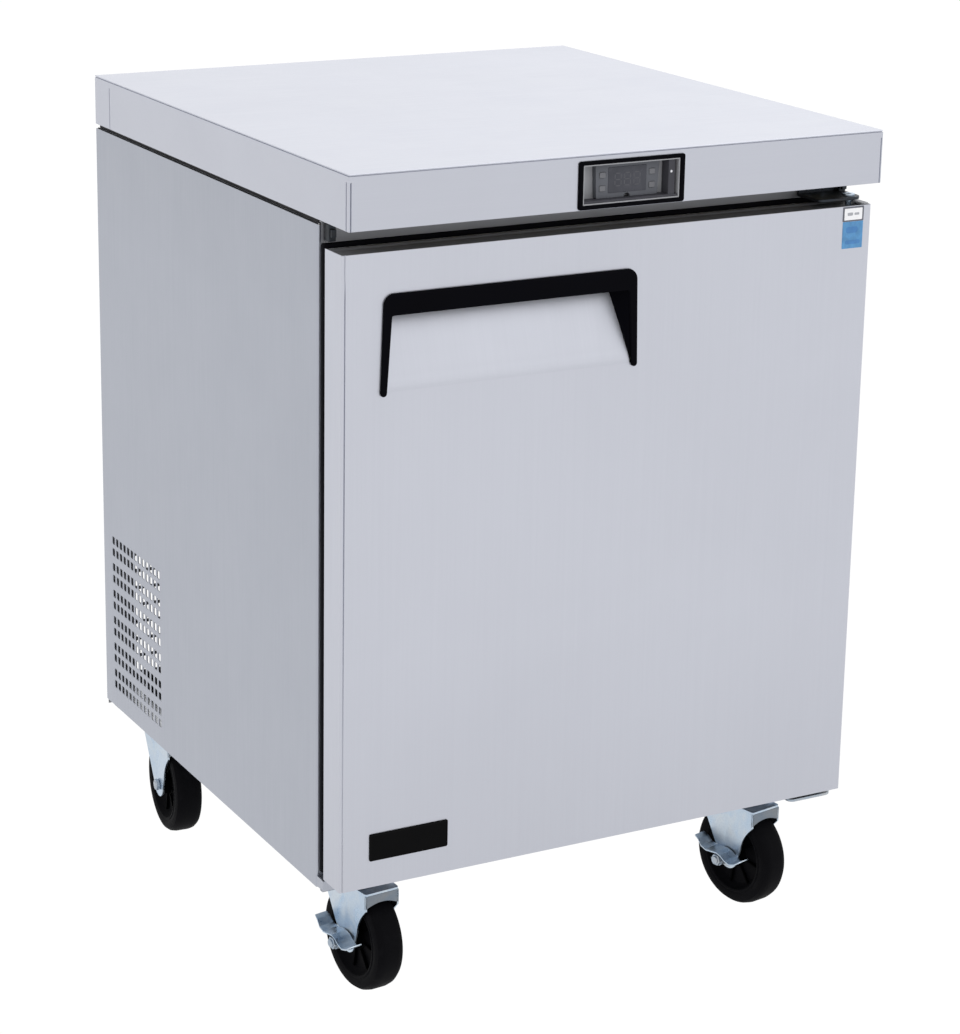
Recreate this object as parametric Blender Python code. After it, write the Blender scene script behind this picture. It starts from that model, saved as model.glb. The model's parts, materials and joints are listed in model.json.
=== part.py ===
"""Undercounter refrigerator on four swivel casters, as an assembly of separate named pieces.

Units are metres, +Z is up, the front faces -Y and the origin is on the floor under the middle.
One object is one physical piece. Moving pieces have their origin on their joint's axis.
"""
import math

import bmesh
import bpy
from mathutils import Matrix, Vector

# ---------------------------------------------------------------- driving dimensions
WIDTH = 0.686
DEPTH = 0.735
HEIGHT = 0.980
GAP = 0.0003                     # air between pieces that touch

SHEET = 0.0015                   # folded steel sheet
HALF_W = WIDTH / 2
FRONT = -DEPTH / 2
BACK = DEPTH / 2

WORKTOP_BOTTOM = HEIGHT - 0.062
PANEL_TOP = WORKTOP_BOTTOM - 0.0055
PANEL_BOTTOM = 0.138
PANEL_FRONT = FRONT + 0.0755
SHELL_BACK = BACK - 0.0020       # outside of the cabinet's back
BASE_TOP = 0.1545
BASE_BOTTOM = 0.1500

MACHINE_TOP = 0.400              # the machine compartment is low at the back
MACHINE_FRONT = 0.165
CAVITY_HALF_W = 0.295
CAVITY_FLOOR = 0.205
CAVITY_STEP = 0.450
CAVITY_CEILING = 0.865
CAVITY_BACK = 0.315
CAVITY_BACK_LOW = 0.115

DOOR_FRONT = FRONT + 0.0155
DOOR_BACK = DOOR_FRONT + 0.042
DOOR_TOP = 0.890
DOOR_BOTTOM = 0.155
DOOR_CAP = 0.0100
FRAME_FRONT = PANEL_FRONT - 0.0045
HINGE_X = 0.325
HINGE_Y = DOOR_FRONT + 0.021
HINGE_PIN_R = 0.0040

HANDLE_LEFT = -0.294             # outside of the black trim
HANDLE_RIGHT = 0.024
HANDLE_TOP = 0.844
HANDLE_BAR = 0.0245
HANDLE_FOOT = 0.7300
HANDLE_LEG = 0.0100
HANDLE_FLARE = 0.0030            # the legs lean outwards this far at their feet
POCKET_RIM = 0.0010              # between the trim's inner edge and the hollow
POCKET_TOP = HANDLE_TOP - 0.0080
POCKET_FOOT = HANDLE_FOOT + 0.0040
POCKET_DEPTH = 0.034
POCKET_DRAFT = 0.014
POCKET_FLARE = 0.0054

WINDOW_X = (-0.0586, 0.0662)     # control window in the worktop's front
WINDOW_Z = (0.9235, 0.9685)
BEZEL_RIM = 0.0060
BEZEL_PROUD = 0.0020

VENT_ROW_PAIRS = 6
VENT_COLUMNS = 7
VENT_LOW_Z = 0.164
VENT_PAIR_PITCH = 0.0370
VENT_SLOT_H = 0.0270
VENT_FRONT_Y = 0.171
VENT_COLUMN_PITCH = 0.0257
VENT_SLOT_W = 0.0213

BACK_SLOT_ROWS = 9
BACK_SLOT_COLUMNS = 4
BACK_SLOT_X = -0.2900
BACK_SLOT_Z = 0.1720
BACK_SLOT_PITCH_X = 0.1340
BACK_SLOT_PITCH_Z = 0.0240
BACK_SLOT_W = 0.1240
BACK_SLOT_H = 0.0165
GLAND_AT = (0.290, 0.300)        # cord gland's x and z in the rear cover

RAIL_HALF_W = 0.335              # black rail under the back of the base
RAIL_FRONT = 0.3380
RAIL_BACK = 0.3620
RAIL_BOTTOM = 0.1290

SHELF_HALF_W = 0.2840
SHELF_FRONT = -0.2620
SHELF_UPPER_Z = 0.640
SHELF_LOWER_Z = 0.395
SHELF_THICK = 0.0070

COMPRESSOR_AT = (0.215, 0.2650)
CONDENSER_FAN_AT = (0.2675, 0.2700)
CONDENSER_Y = (0.1850, 0.3500)
CONDENSER_TOP = 0.3850
EVAPORATOR_FAN_Z = 0.7600

WHEEL_R = 0.0635
WHEEL_HALF_W = 0.018
TRAIL = 0.034                    # wheel axle behind the swivel axis
AXLE_R = 0.0050
BOLT_HEAD_R = 0.0085
KINGPIN_R = 0.0060
CROWN_LOW = 0.1300
CROWN_HIGH = 0.1345
CROWN_FRONT = -0.0740
CROWN_BACK = 0.0300
CASTERS = {                      # swivel axis x, y and the way the fork points, in degrees
    "front_left": (-0.283, -0.254, 5.0),
    "front_right": (0.240, -0.254, 10.0),
    "rear_left": (-0.302, 0.258, -4.0),
    "rear_right": (0.250, 0.258, -14.0),
}


# ---------------------------------------------------------------- scene and materials
def clear_scene():
    """Remove whatever the file holds, so that the script starts from nothing."""
    for obj in list(bpy.data.objects):
        bpy.data.objects.remove(obj, do_unlink=True)


def material(name, colour, roughness, metallic):
    """Principled material, made once for each name."""
    mat = bpy.data.materials.get(name)
    if mat is None:
        mat = bpy.data.materials.new(name)
        mat.use_nodes = True
        shader = mat.node_tree.nodes["Principled BSDF"]
        shader.inputs["Base Color"].default_value = (*colour, 1.0)
        shader.inputs["Roughness"].default_value = roughness
        shader.inputs["Metallic"].default_value = metallic
        mat.diffuse_color = (*colour, 1.0)
    return mat


def stainless():
    return material("stainless", (0.60, 0.61, 0.64), 0.30, 1.0)


def dark_plastic():
    return material("dark_plastic", (0.012, 0.012, 0.015), 0.45, 0.0)


def black_steel():
    return material("black_steel", (0.02, 0.02, 0.022), 0.50, 0.0)


def zinc():
    return material("zinc", (0.50, 0.56, 0.62), 0.32, 1.0)


def aluminium():
    return material("aluminium", (0.72, 0.72, 0.74), 0.35, 1.0)


def foam():
    return material("foam", (0.75, 0.66, 0.42), 0.90, 0.0)


def white_plastic():
    return material("white_plastic", (0.78, 0.79, 0.80), 0.40, 0.0)


def rubber():
    return material("rubber", (0.015, 0.015, 0.018), 0.60, 0.0)


def grey_plastic():
    return material("grey_plastic", (0.10, 0.10, 0.12), 0.40, 0.0)


# ---------------------------------------------------------------- shape helpers
def add_object(name, bm, mat, smooth_angle=None):
    """Turn a bmesh into a named object with outward faces."""
    bm.normal_update()
    bmesh.ops.recalc_face_normals(bm, faces=bm.faces)
    if bm.calc_volume(signed=True) < 0:
        bmesh.ops.reverse_faces(bm, faces=bm.faces)
    mesh = bpy.data.meshes.new(name)
    bm.to_mesh(mesh)
    bm.free()
    if smooth_angle is not None:
        mesh.shade_smooth()
        mesh.set_sharp_from_angle(angle=math.radians(smooth_angle))
    mesh.materials.append(mat)
    obj = bpy.data.objects.new(name, mesh)
    bpy.context.scene.collection.objects.link(obj)
    return obj


def box(name, low, high, mat):
    """Axis-aligned box between two corners."""
    bm = bmesh.new()
    bmesh.ops.create_cube(bm, size=1.0)
    size = Vector(high) - Vector(low)
    centre = (Vector(high) + Vector(low)) / 2
    bm.transform(Matrix.Translation(centre) @ Matrix.Diagonal((*size, 1.0)))
    return add_object(name, bm, mat)


def prism(name, outline, axis, start, end, mat, smooth_angle=None):
    """Extrude an outline along X, Y or Z. Outline points are the two other axes, in XYZ order."""
    index = "XYZ".index(axis)
    bm = bmesh.new()
    ring = []
    for a, b in outline:
        point = [a, b]
        point.insert(index, start)
        ring.append(bm.verts.new(point))
    face = bm.faces.new(ring)
    grown = bmesh.ops.extrude_face_region(bm, geom=[face])
    shift = [0.0, 0.0, 0.0]
    shift[index] = end - start
    moved = [v for v in grown["geom"] if isinstance(v, bmesh.types.BMVert)]
    bmesh.ops.translate(bm, verts=moved, vec=shift)
    return add_object(name, bm, mat, smooth_angle)


def turned(name, profile, axis, segments, mat, smooth_angle=35.0):
    """Spin a closed profile of (radius, height) points about X, Y or Z."""
    bm = bmesh.new()
    rings = []
    for step in range(segments):
        angle = 2 * math.pi * step / segments
        ring = [bm.verts.new((r * math.cos(angle), r * math.sin(angle), h)) for r, h in profile]
        rings.append(ring)
    count = len(profile)
    for step in range(segments):
        near, far = rings[step], rings[(step + 1) % segments]
        for k in range(count):
            j = (k + 1) % count
            bm.faces.new((near[k], far[k], far[j], near[j]))
    bmesh.ops.remove_doubles(bm, verts=bm.verts, dist=1e-6)
    if axis == "X":
        bm.transform(Matrix.Rotation(math.radians(90), 4, "Y"))
    elif axis == "Y":
        bm.transform(Matrix.Rotation(math.radians(-90), 4, "X"))
    return add_object(name, bm, mat, smooth_angle)


def disc(name, radius, low, high, axis, segments, mat):
    """Plain cylinder as a turned piece."""
    bm = bmesh.new()
    bmesh.ops.create_cone(bm, cap_ends=True, segments=segments, radius1=radius, radius2=radius,
                          depth=high - low)
    bm.transform(Matrix.Translation((0.0, 0.0, (low + high) / 2)))
    if axis == "X":
        bm.transform(Matrix.Rotation(math.radians(90), 4, "Y"))
    elif axis == "Y":
        bm.transform(Matrix.Rotation(math.radians(-90), 4, "X"))
    return add_object(name, bm, mat, 35.0)


def combine(target, tool, operation):
    """Boolean two objects and keep the result in the first; the second is removed."""
    modifier = target.modifiers.new("combine", "BOOLEAN")
    modifier.operation = operation
    modifier.solver = "EXACT"
    modifier.object = tool
    bpy.context.view_layer.update()
    graph = bpy.context.evaluated_depsgraph_get()
    mesh = bpy.data.meshes.new_from_object(target.evaluated_get(graph))
    target.modifiers.clear()
    target.data = mesh
    bpy.data.objects.remove(tool, do_unlink=True)
    return target


def cut(target, tool):
    return combine(target, tool, "DIFFERENCE")


def join(target, tool):
    return combine(target, tool, "UNION")


def place(obj, location, parent=None, turn=0.0):
    """Put an object's origin at a place, turned about Z by degrees."""
    obj.location = location
    obj.rotation_euler = (0.0, 0.0, math.radians(turn))
    obj.parent = parent
    return obj


def set_origin(obj, origin):
    """Move the object's origin without moving its shape."""
    obj.data.transform(Matrix.Translation(-Vector(origin)))
    obj.location = origin
    return obj


def slot_cutter(boxes):
    """One tool made of many separate boxes."""
    bm = bmesh.new()
    for low, high in boxes:
        size = Vector(high) - Vector(low)
        centre = (Vector(high) + Vector(low)) / 2
        bmesh.ops.create_cube(bm, size=1.0,
                              matrix=Matrix.Translation(centre) @ Matrix.Diagonal((*size, 1.0)))
    return add_object("cutter", bm, stainless())


# ---------------------------------------------------------------- cabinet
def make_worktop():
    """Stainless top folded down on four sides, with the control window in its front."""
    wall = 0.0020
    top = box("worktop", (-HALF_W, FRONT, WORKTOP_BOTTOM), (HALF_W, BACK, HEIGHT), stainless())
    inside = box("cutter", (-HALF_W + wall, FRONT + wall, WORKTOP_BOTTOM - 0.01),
                 (HALF_W - wall, BACK - wall, HEIGHT - wall), stainless())
    cut(top, inside)
    window = box("cutter", (WINDOW_X[0], FRONT - 0.01, WINDOW_Z[0]),
                 (WINDOW_X[1], FRONT + 0.01, WINDOW_Z[1]), stainless())
    cut(top, window)
    box("worktop_core", (-HALF_W + 0.003, FRONT + 0.035, WORKTOP_BOTTOM + 0.006),
        (HALF_W - 0.003, BACK - 0.003, HEIGHT - wall - GAP), foam())


def cavity_outline(grow, front):
    """Side view (y, z) of the food compartment: deep above the machine compartment."""
    return [
        (front, CAVITY_FLOOR - grow),
        (CAVITY_BACK_LOW + grow, CAVITY_FLOOR - grow),
        (CAVITY_BACK_LOW + grow, CAVITY_STEP - grow),
        (CAVITY_BACK + grow, CAVITY_STEP - grow),
        (CAVITY_BACK + grow, CAVITY_CEILING + grow),
        (front, CAVITY_CEILING + grow),
    ]


def make_body():
    """Insulation between the outer sheets and the liner, and the liner inside it."""
    front = PANEL_FRONT + SHEET + GAP
    inner_x = HALF_W - SHEET - GAP
    outline = [
        (front, BASE_TOP + GAP),
        (MACHINE_FRONT, BASE_TOP + GAP),
        (MACHINE_FRONT, MACHINE_TOP),
        (SHELL_BACK - SHEET - GAP, MACHINE_TOP),
        (SHELL_BACK - SHEET - GAP, PANEL_TOP),
        (front, PANEL_TOP),
    ]
    block = prism("cabinet_insulation", outline, "X", -inner_x, inner_x, foam())
    grow = SHEET + GAP
    hollow = prism("cutter", cavity_outline(grow, front - 0.02), "X",
                   -CAVITY_HALF_W - grow, CAVITY_HALF_W + grow, foam())
    cut(block, hollow)
    liner = prism("inner_liner", cavity_outline(SHEET, front), "X",
                  -CAVITY_HALF_W - SHEET, CAVITY_HALF_W + SHEET, aluminium())
    space = prism("cutter", cavity_outline(0.0, front - 0.02), "X",
                  -CAVITY_HALF_W, CAVITY_HALF_W, aluminium())
    cut(liner, space)


def vent_boxes(x):
    """The side vent's slots, as boxes that pass through a panel at x."""
    boxes = []
    for row in range(VENT_ROW_PAIRS):
        z = VENT_LOW_Z + row * VENT_PAIR_PITCH
        for column in range(VENT_COLUMNS):
            y = VENT_FRONT_Y + column * VENT_COLUMN_PITCH
            boxes.append(((x - 0.01, y, z), (x + 0.01, y + VENT_SLOT_W, z + VENT_SLOT_H)))
    return boxes


def make_side_panel(name, side):
    """Outer side sheet with a folded front edge and the machine compartment's vent."""
    flange = 0.024
    outline = [
        (side * HALF_W, PANEL_FRONT),
        (side * HALF_W, SHELL_BACK),
        (side * (HALF_W - SHEET), SHELL_BACK),
        (side * (HALF_W - SHEET), PANEL_FRONT + SHEET),
        (side * (HALF_W - flange), PANEL_FRONT + SHEET),
        (side * (HALF_W - flange), PANEL_FRONT),
    ]
    panel = prism(name, outline, "Z", PANEL_BOTTOM, PANEL_TOP, stainless())
    cut(panel, slot_cutter(vent_boxes(side * HALF_W)))


def make_back():
    """Upper back sheet, the slotted cover of the machine compartment, and its cord gland."""
    back_x = HALF_W - SHEET - GAP
    y0 = SHELL_BACK - SHEET
    box("back_panel", (-back_x, y0, MACHINE_TOP + 0.006), (back_x, SHELL_BACK, PANEL_TOP),
        stainless())
    cover = box("rear_cover", (-back_x, y0, 0.131), (back_x, SHELL_BACK, MACHINE_TOP + 0.005),
                stainless())
    slots = []
    for row in range(BACK_SLOT_ROWS):
        z = BACK_SLOT_Z + row * BACK_SLOT_PITCH_Z
        for column in range(BACK_SLOT_COLUMNS):
            x = BACK_SLOT_X + column * BACK_SLOT_PITCH_X
            slots.append(((x, y0 - 0.01, z),
                          (x + BACK_SLOT_W, SHELL_BACK + 0.01, z + BACK_SLOT_H)))
    cut(cover, slot_cutter(slots))
    gland_x, gland_z = GLAND_AT
    hole = disc("cutter", 0.0085, -0.02, 0.02, "Y", 20, stainless())
    hole.location = (gland_x, SHELL_BACK, gland_z)
    cut(cover, hole)
    profile = [(0.0045, -0.010), (0.0082, -0.010), (0.0082, 0.0003), (0.0125, 0.0003),
               (0.0125, 0.0030), (0.0085, 0.0040), (0.0045, 0.0040)]
    gland = turned("cord_gland", profile, "Y", 20, dark_plastic())
    place(gland, (gland_x, SHELL_BACK, gland_z))


def make_base():
    """Base pan with its front rail, the rear rail under it, and the rail under the worktop."""
    pan_x = HALF_W - SHEET - GAP
    pan_front = PANEL_FRONT + SHEET + GAP
    pan = box("base_pan", (-pan_x, pan_front, BASE_BOTTOM),
              (pan_x, SHELL_BACK - SHEET - GAP, BASE_TOP), stainless())
    join(pan, box("cutter", (-0.3100, PANEL_FRONT - 0.0020, 0.1512),
                  (0.3100, pan_front + 0.0020, 0.1523), stainless()))
    face, back = PANEL_FRONT - 0.0165, PANEL_FRONT - GAP
    apron = [(face, PANEL_BOTTOM), (face + SHEET, PANEL_BOTTOM), (face + SHEET, 0.1525 - SHEET),
             (back, 0.1525 - SHEET), (back, 0.1525), (face, 0.1525)]
    join(pan, prism("cutter", apron, "X", -HALF_W, HALF_W, stainless()))
    box("rear_rail", (-RAIL_HALF_W, RAIL_FRONT, RAIL_BOTTOM),
        (RAIL_HALF_W, RAIL_BACK, BASE_BOTTOM - GAP), black_steel())
    rail_z = (DOOR_TOP + 0.0030, WORKTOP_BOTTOM - 0.0015)
    outline = [
        (FRAME_FRONT, rail_z[0]),
        (FRAME_FRONT + 0.0040, rail_z[0]),
        (FRAME_FRONT + 0.0040, rail_z[1] - SHEET),
        (FRAME_FRONT + 0.0400, rail_z[1] - SHEET),
        (FRAME_FRONT + 0.0400, rail_z[1]),
        (FRAME_FRONT, rail_z[1]),
    ]
    prism("top_rail", outline, "X", -HALF_W + 0.003, HALF_W - 0.003, stainless())


def make_front_frame():
    """Black breaker frame round the opening, where the door's gasket lands."""
    back = PANEL_FRONT - GAP
    frame = box("front_frame", (-HALF_W + 0.004, FRAME_FRONT, 0.1560),
                (HALF_W - 0.004, back, DOOR_TOP + 0.0025), dark_plastic())
    opening = box("cutter", (-CAVITY_HALF_W, FRAME_FRONT - 0.01, CAVITY_FLOOR),
                  (CAVITY_HALF_W, back + 0.01, CAVITY_CEILING), dark_plastic())
    cut(frame, opening)


def make_shelf(name, z, y0, y1):
    """Wire shelf as a frame with long gaps between its wires, front to back."""
    half = SHELF_HALF_W
    shelf = box(name, (-half, y0, z), (half, y1, z + SHELF_THICK), zinc())
    gaps = 10
    pitch = (2 * half - 0.010) / gaps
    slots = []
    for k in range(gaps):
        x = -half + 0.008 + k * pitch
        slots.append(((x, y0 + 0.008, z - 0.01), (x + pitch - 0.006, y1 - 0.008, z + 0.02)))
    cut(shelf, slot_cutter(slots))


def make_rack(name, side, levels):
    """Two uprights on a side wall, joined by the bars that the shelves rest on."""
    wall = side * (CAVITY_HALF_W - GAP)
    face = side * (CAVITY_HALF_W - 0.0040)
    x0, x1 = min(wall, face), max(wall, face)
    z0, z1 = 0.2350, 0.8400
    rack = box(name, (x0, -0.2130, z0), (x1, -0.1970, z1), zinc())
    join(rack, box("cutter", (x0, 0.0320, z0), (x1, 0.0480, z1), zinc()))
    x_in = side * 0.2740
    for z in levels:
        top = z - GAP
        low = (min(x_in, wall), -0.2150, top - 0.0060)
        high = (max(x_in, wall), 0.0500, top)
        join(rack, box("cutter", low, high, zinc()))


def make_shelving():
    """Two shelves that rest on a rack on each side wall."""
    levels = (SHELF_UPPER_Z, SHELF_LOWER_Z)
    make_shelf("shelf_upper", SHELF_UPPER_Z, SHELF_FRONT, 0.1850)
    make_shelf("shelf_lower", SHELF_LOWER_Z, SHELF_FRONT, 0.0950)
    make_rack("shelf_rack_left", -1, levels)
    make_rack("shelf_rack_right", 1, levels)


# ---------------------------------------------------------------- refrigeration
def fan_mesh(name, radius, hub_radius, hub_length, blades, mat):
    """Axial fan about the Y axis: a hub with pitched blades."""
    fan = disc(name, hub_radius, -hub_length / 2, hub_length / 2, "Y", 20, mat)
    for k in range(blades):
        angle = 2 * math.pi * k / blades
        blade = box("cutter", (hub_radius * 0.7, -0.0008, -0.014), (radius, 0.0008, 0.014), mat)
        tilt = Matrix.Rotation(math.radians(28), 4, "X")
        spin = Matrix.Rotation(angle, 4, "Y")
        blade.data.transform(spin @ tilt)
        join(fan, blade)
    return fan


def fin_block(name, low, high, fins, axis, mat):
    """Heat exchanger: a solid core with fins standing out of both its faces."""
    index = "XYZ".index(axis)
    length = high[index] - low[index]
    block = box(name, low, high, mat)
    pitch = length / fins
    face = 0 if axis == "Y" else 1
    depth = high[face] - low[face]
    slots = []
    for k in range(fins - 1):
        start = low[index] + (k + 0.5) * pitch + 0.0010
        for near, far in ((low[face] - 0.01, low[face] + 0.35 * depth),
                          (high[face] - 0.35 * depth, high[face] + 0.01)):
            a, b = [-1.0] * 3, [1.0] * 3
            a[2], b[2] = low[2] + 0.006, high[2] - 0.006
            a[index], b[index] = start, start + pitch - 0.0020
            a[face], b[face] = near, far
            slots.append((a, b))
    return cut(block, slot_cutter(slots))


def make_evaporator():
    """Coil, fan and motor under a cover, high on the compartment's back wall."""
    y_wall = CAVITY_BACK - GAP
    cover = box("evaporator_cover", (-0.200, 0.2150, 0.6700), (0.200, y_wall, 0.8550),
                white_plastic())
    inside = box("cutter", (-0.197, 0.2180, 0.6730), (0.197, y_wall + 0.01, 0.8520),
                 white_plastic())
    cut(cover, inside)
    intake = disc("cutter", 0.0520, -0.02, 0.02, "Y", 24, white_plastic())
    intake.location = (0.0, 0.2165, EVAPORATOR_FAN_Z)
    cut(cover, intake)
    outlets = [((-0.180 + k * 0.120, 0.22, 0.66), (-0.080 + k * 0.120, 0.30, 0.68))
               for k in range(3)]
    cut(cover, slot_cutter(outlets))
    fin_block("evaporator_coil", (-0.180, 0.2750, 0.6850), (0.180, 0.3100, 0.8400), 16, "X",
              aluminium())
    fan = fan_mesh("evaporator_fan", 0.0490, 0.0150, 0.0160, 5, dark_plastic())
    place(fan, (0.0, 0.2330, EVAPORATOR_FAN_Z))
    motor = disc("evaporator_motor", 0.0200, -0.0140, 0.0140, "Y", 20, black_steel())
    join(motor, box("cutter", (-0.1965, -0.0020, -0.0060), (0.1965, 0.0020, 0.0060), zinc()))
    place(motor, (0.0, 0.2560, EVAPORATOR_FAN_Z))


def make_machine():
    """Compressor, condenser, its fan and the drain pan, on the base pan."""
    floor = BASE_TOP + GAP
    profile = [(0.0, 0.0), (0.050, 0.0), (0.058, 0.012), (0.060, 0.070), (0.060, 0.110),
               (0.052, 0.140), (0.030, 0.160), (0.0, 0.165)]
    compressor = turned("compressor", profile, "Z", 24, black_steel())
    join(compressor, box("cutter", (-0.0750, -0.0700, -0.0060), (0.0750, 0.0700, 0.0010),
                         black_steel()))
    place(compressor, (*COMPRESSOR_AT, floor + 0.006))
    y0, y1 = CONDENSER_Y
    fan_y, fan_z = CONDENSER_FAN_AT
    fin_block("condenser_coil", (-0.095, y0, floor), (-0.050, y1, CONDENSER_TOP), 14, "Y",
              aluminium())
    shroud = box("fan_shroud", (-0.049, y0, floor), (-0.020, y1, CONDENSER_TOP), zinc())
    hole = disc("cutter", 0.0740, -0.05, 0.05, "X", 28, zinc())
    hole.location = (-0.035, fan_y, fan_z)
    cut(shroud, hole)
    fan = fan_mesh("condenser_fan", 0.0700, 0.0200, 0.0200, 5, aluminium())
    fan.data.transform(Matrix.Rotation(math.radians(-90), 4, "Z"))
    place(fan, (-0.036, fan_y, fan_z))
    motor = disc("condenser_motor", 0.0280, 0.0, 0.0500, "X", 20, black_steel())
    join(motor, box("cutter", (0.0080, -0.0150, floor - fan_z), (0.0420, 0.0150, -0.0200),
                    black_steel()))
    place(motor, (-0.0190, fan_y, fan_z))
    pan = box("drain_pan", (-0.300, 0.1900, floor), (-0.120, 0.3500, floor + 0.0180),
              dark_plastic())
    inside = box("cutter", (-0.298, 0.1920, floor + 0.002), (-0.122, 0.3480, floor + 0.05),
                 dark_plastic())
    cut(pan, inside)


# ---------------------------------------------------------------- controls
def make_controls():
    """Framed window in the worktop's front with the controller behind it."""
    x0, x1 = WINDOW_X
    z0, z1 = WINDOW_Z
    outer_low, outer_high = WORKTOP_BOTTOM + 0.0008, WINDOW_Z[1] + 0.0045
    bezel = box("control_bezel", (x0 - BEZEL_RIM, FRONT - BEZEL_PROUD, outer_low),
                (x1 + BEZEL_RIM, FRONT - GAP, outer_high), dark_plastic())
    hole = box("cutter", (x0, FRONT - 0.01, z0), (x1, FRONT + 0.01, z1), dark_plastic())
    cut(bezel, hole)
    depth = 0.0160
    wall = 0.0012
    housing = box("control_housing", (x0 + GAP, FRONT - BEZEL_PROUD + 0.0008, z0 + GAP),
                  (x1 - GAP, FRONT + depth + wall, z1 - GAP), grey_plastic())
    inside = box("cutter", (x0 + GAP + wall, FRONT - 0.02, z0 + GAP + wall),
                 (x1 - GAP - wall, FRONT + depth, z1 - GAP - wall), grey_plastic())
    cut(housing, inside)
    back = FRONT + depth - GAP
    face = back - 0.0075
    body_low, body_high = z0 + 0.0045, z1 - 0.0022
    outline = [(-0.0365, body_low), (0.0425, body_low), (0.0440, body_high), (-0.0380, body_high)]
    body = prism("controller_body", outline, "Y", face, back, grey_plastic())
    mid = 0.0030
    lens_x = (mid - 0.0245, mid + 0.0245)
    button_xs = (mid - 0.0320, mid + 0.0320)
    button_zs = (body_low + 0.0110, body_low + 0.0260)
    size = (0.0038, 0.0032)
    seats = [((x - size[0] - GAP, face - 0.01, z - size[1] - GAP),
              (x + size[0] + GAP, face + 0.0030, z + size[1] + GAP))
             for x in button_xs for z in button_zs]
    seats.append(((lens_x[0] - GAP, face - 0.01, body_low + 0.0055 - GAP),
                  (lens_x[1] + GAP, face + 0.0010, body_high - 0.0040 + GAP)))
    cut(body, slot_cutter(seats))
    box("display_lens", (lens_x[0], face - 0.0006, body_low + 0.0055),
        (lens_x[1], face + 0.0007, body_high - 0.0040), dark_plastic())
    for x, side in zip(button_xs, ("left", "right")):
        for z, level in zip(button_zs, ("lower", "upper")):
            button = box(f"button_{level}_{side}", (x - size[0], face - 0.0009, z - size[1]),
                         (x + size[0], face + 0.0018, z + size[1]), dark_plastic())
            set_origin(button, (x, face, z))


# ---------------------------------------------------------------- door and hinges
def make_door(pivot):
    """Skin, caps, insulation, inner panel and gasket. All hang on the hinge empty."""
    side = HALF_W
    t = SHEET
    outline = [
        (-side, DOOR_BACK), (-side, DOOR_FRONT), (side, DOOR_FRONT), (side, DOOR_BACK),
        (side - t, DOOR_BACK), (side - t, DOOR_FRONT + t), (-side + t, DOOR_FRONT + t),
        (-side + t, DOOR_BACK),
    ]
    skin = prism("door_skin", outline, "Z", DOOR_BOTTOM, DOOR_TOP, stainless())
    cut(skin, pocket_wedge("cutter", 0.0022, 0.02, foam()))
    inner_x = side - t - GAP
    y0, y1 = DOOR_FRONT + t + GAP, DOOR_BACK - GAP
    caps = []
    for name, low, high in (("door_top_cap", DOOR_TOP - DOOR_CAP, DOOR_TOP - 0.0005),
                            ("door_bottom_cap", DOOR_BOTTOM + 0.0005, DOOR_BOTTOM + DOOR_CAP)):
        cap = box(name, (-inner_x, y0, low), (inner_x, y1, high), dark_plastic())
        hole = disc("cutter", HINGE_PIN_R + GAP, -0.05, 0.05, "Z", 20, dark_plastic())
        hole.location = (HINGE_X, HINGE_Y, low)
        caps.append(cut(cap, hole))
    core = box("door_insulation", (-inner_x, y0, DOOR_BOTTOM + DOOR_CAP + GAP),
               (inner_x, y1, DOOR_TOP - DOOR_CAP - GAP), foam())
    cut(core, pocket_wedge("cutter", 0.0022, 0.02, foam()))
    liner = make_door_liner()
    gasket = make_gasket()
    for piece in (skin, core, liner, gasket, *caps, *make_handle(), *make_nameplate()):
        piece.parent = pivot
        piece.matrix_parent_inverse = Matrix.Translation(pivot.location).inverted()


def make_door_liner():
    """Inner door panel with a raised middle."""
    edge = HALF_W - SHEET - GAP
    low = DOOR_BACK
    plate = box("door_liner", (-edge, low, DOOR_BOTTOM + 0.001), (edge, low + SHEET, DOOR_TOP - 0.001),
                white_plastic())
    raised = box("cutter", (-0.285, low + SHEET / 2, 0.2150), (0.285, low + 0.0115, 0.8300),
                 white_plastic())
    return join(plate, raised)


def make_gasket():
    """Magnetic gasket ring between the inner panel and the cabinet's frame."""
    y0, y1 = DOOR_BACK + SHEET + GAP, FRAME_FRONT - GAP
    ring = box("door_gasket", (-0.322, y0, 0.1770), (0.322, y1, 0.8680), rubber())
    hole = box("cutter", (-0.300, y0 - 0.01, 0.1990), (0.300, y1 + 0.01, 0.8460), rubber())
    return cut(ring, hole)


def pocket_sides(y, z):
    """The hollow's left and right edge: they lean in with depth and spread towards its foot."""
    lean = POCKET_DRAFT * (y - DOOR_FRONT) / POCKET_DEPTH
    spread = POCKET_FLARE * (POCKET_TOP - z) / (POCKET_TOP - POCKET_FOOT)
    inset = HANDLE_LEG + POCKET_RIM + lean - spread
    return HANDLE_LEFT + inset, HANDLE_RIGHT - inset


def pocket_wedge(name, grow, forward, mat):
    """The grip's hollow: deep under the bar, running out flush with the skin at its foot."""
    slope = POCKET_DEPTH / (POCKET_TOP - POCKET_FOOT)
    floor_grow = grow * math.hypot(1.0, slope)
    bm = bmesh.new()
    rings = []
    for y in (DOOR_FRONT - forward, DOOR_FRONT + POCKET_DEPTH + grow):
        z_floor = POCKET_FOOT + (y - DOOR_FRONT) / slope - floor_grow / slope
        z_top = POCKET_TOP + grow
        low_left, low_right = pocket_sides(y, z_floor)
        top_left, top_right = pocket_sides(y, z_top)
        ring = [(low_left - grow, y, z_floor), (low_right + grow, y, z_floor),
                (top_right + grow, y, z_top), (top_left - grow, y, z_top)]
        rings.append([bm.verts.new(p) for p in ring])
    bm.faces.new(rings[0])
    bm.faces.new(rings[1])
    for k in range(4):
        j = (k + 1) % 4
        bm.faces.new((rings[0][k], rings[0][j], rings[1][j], rings[1][k]))
    return add_object(name, bm, mat)


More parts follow.
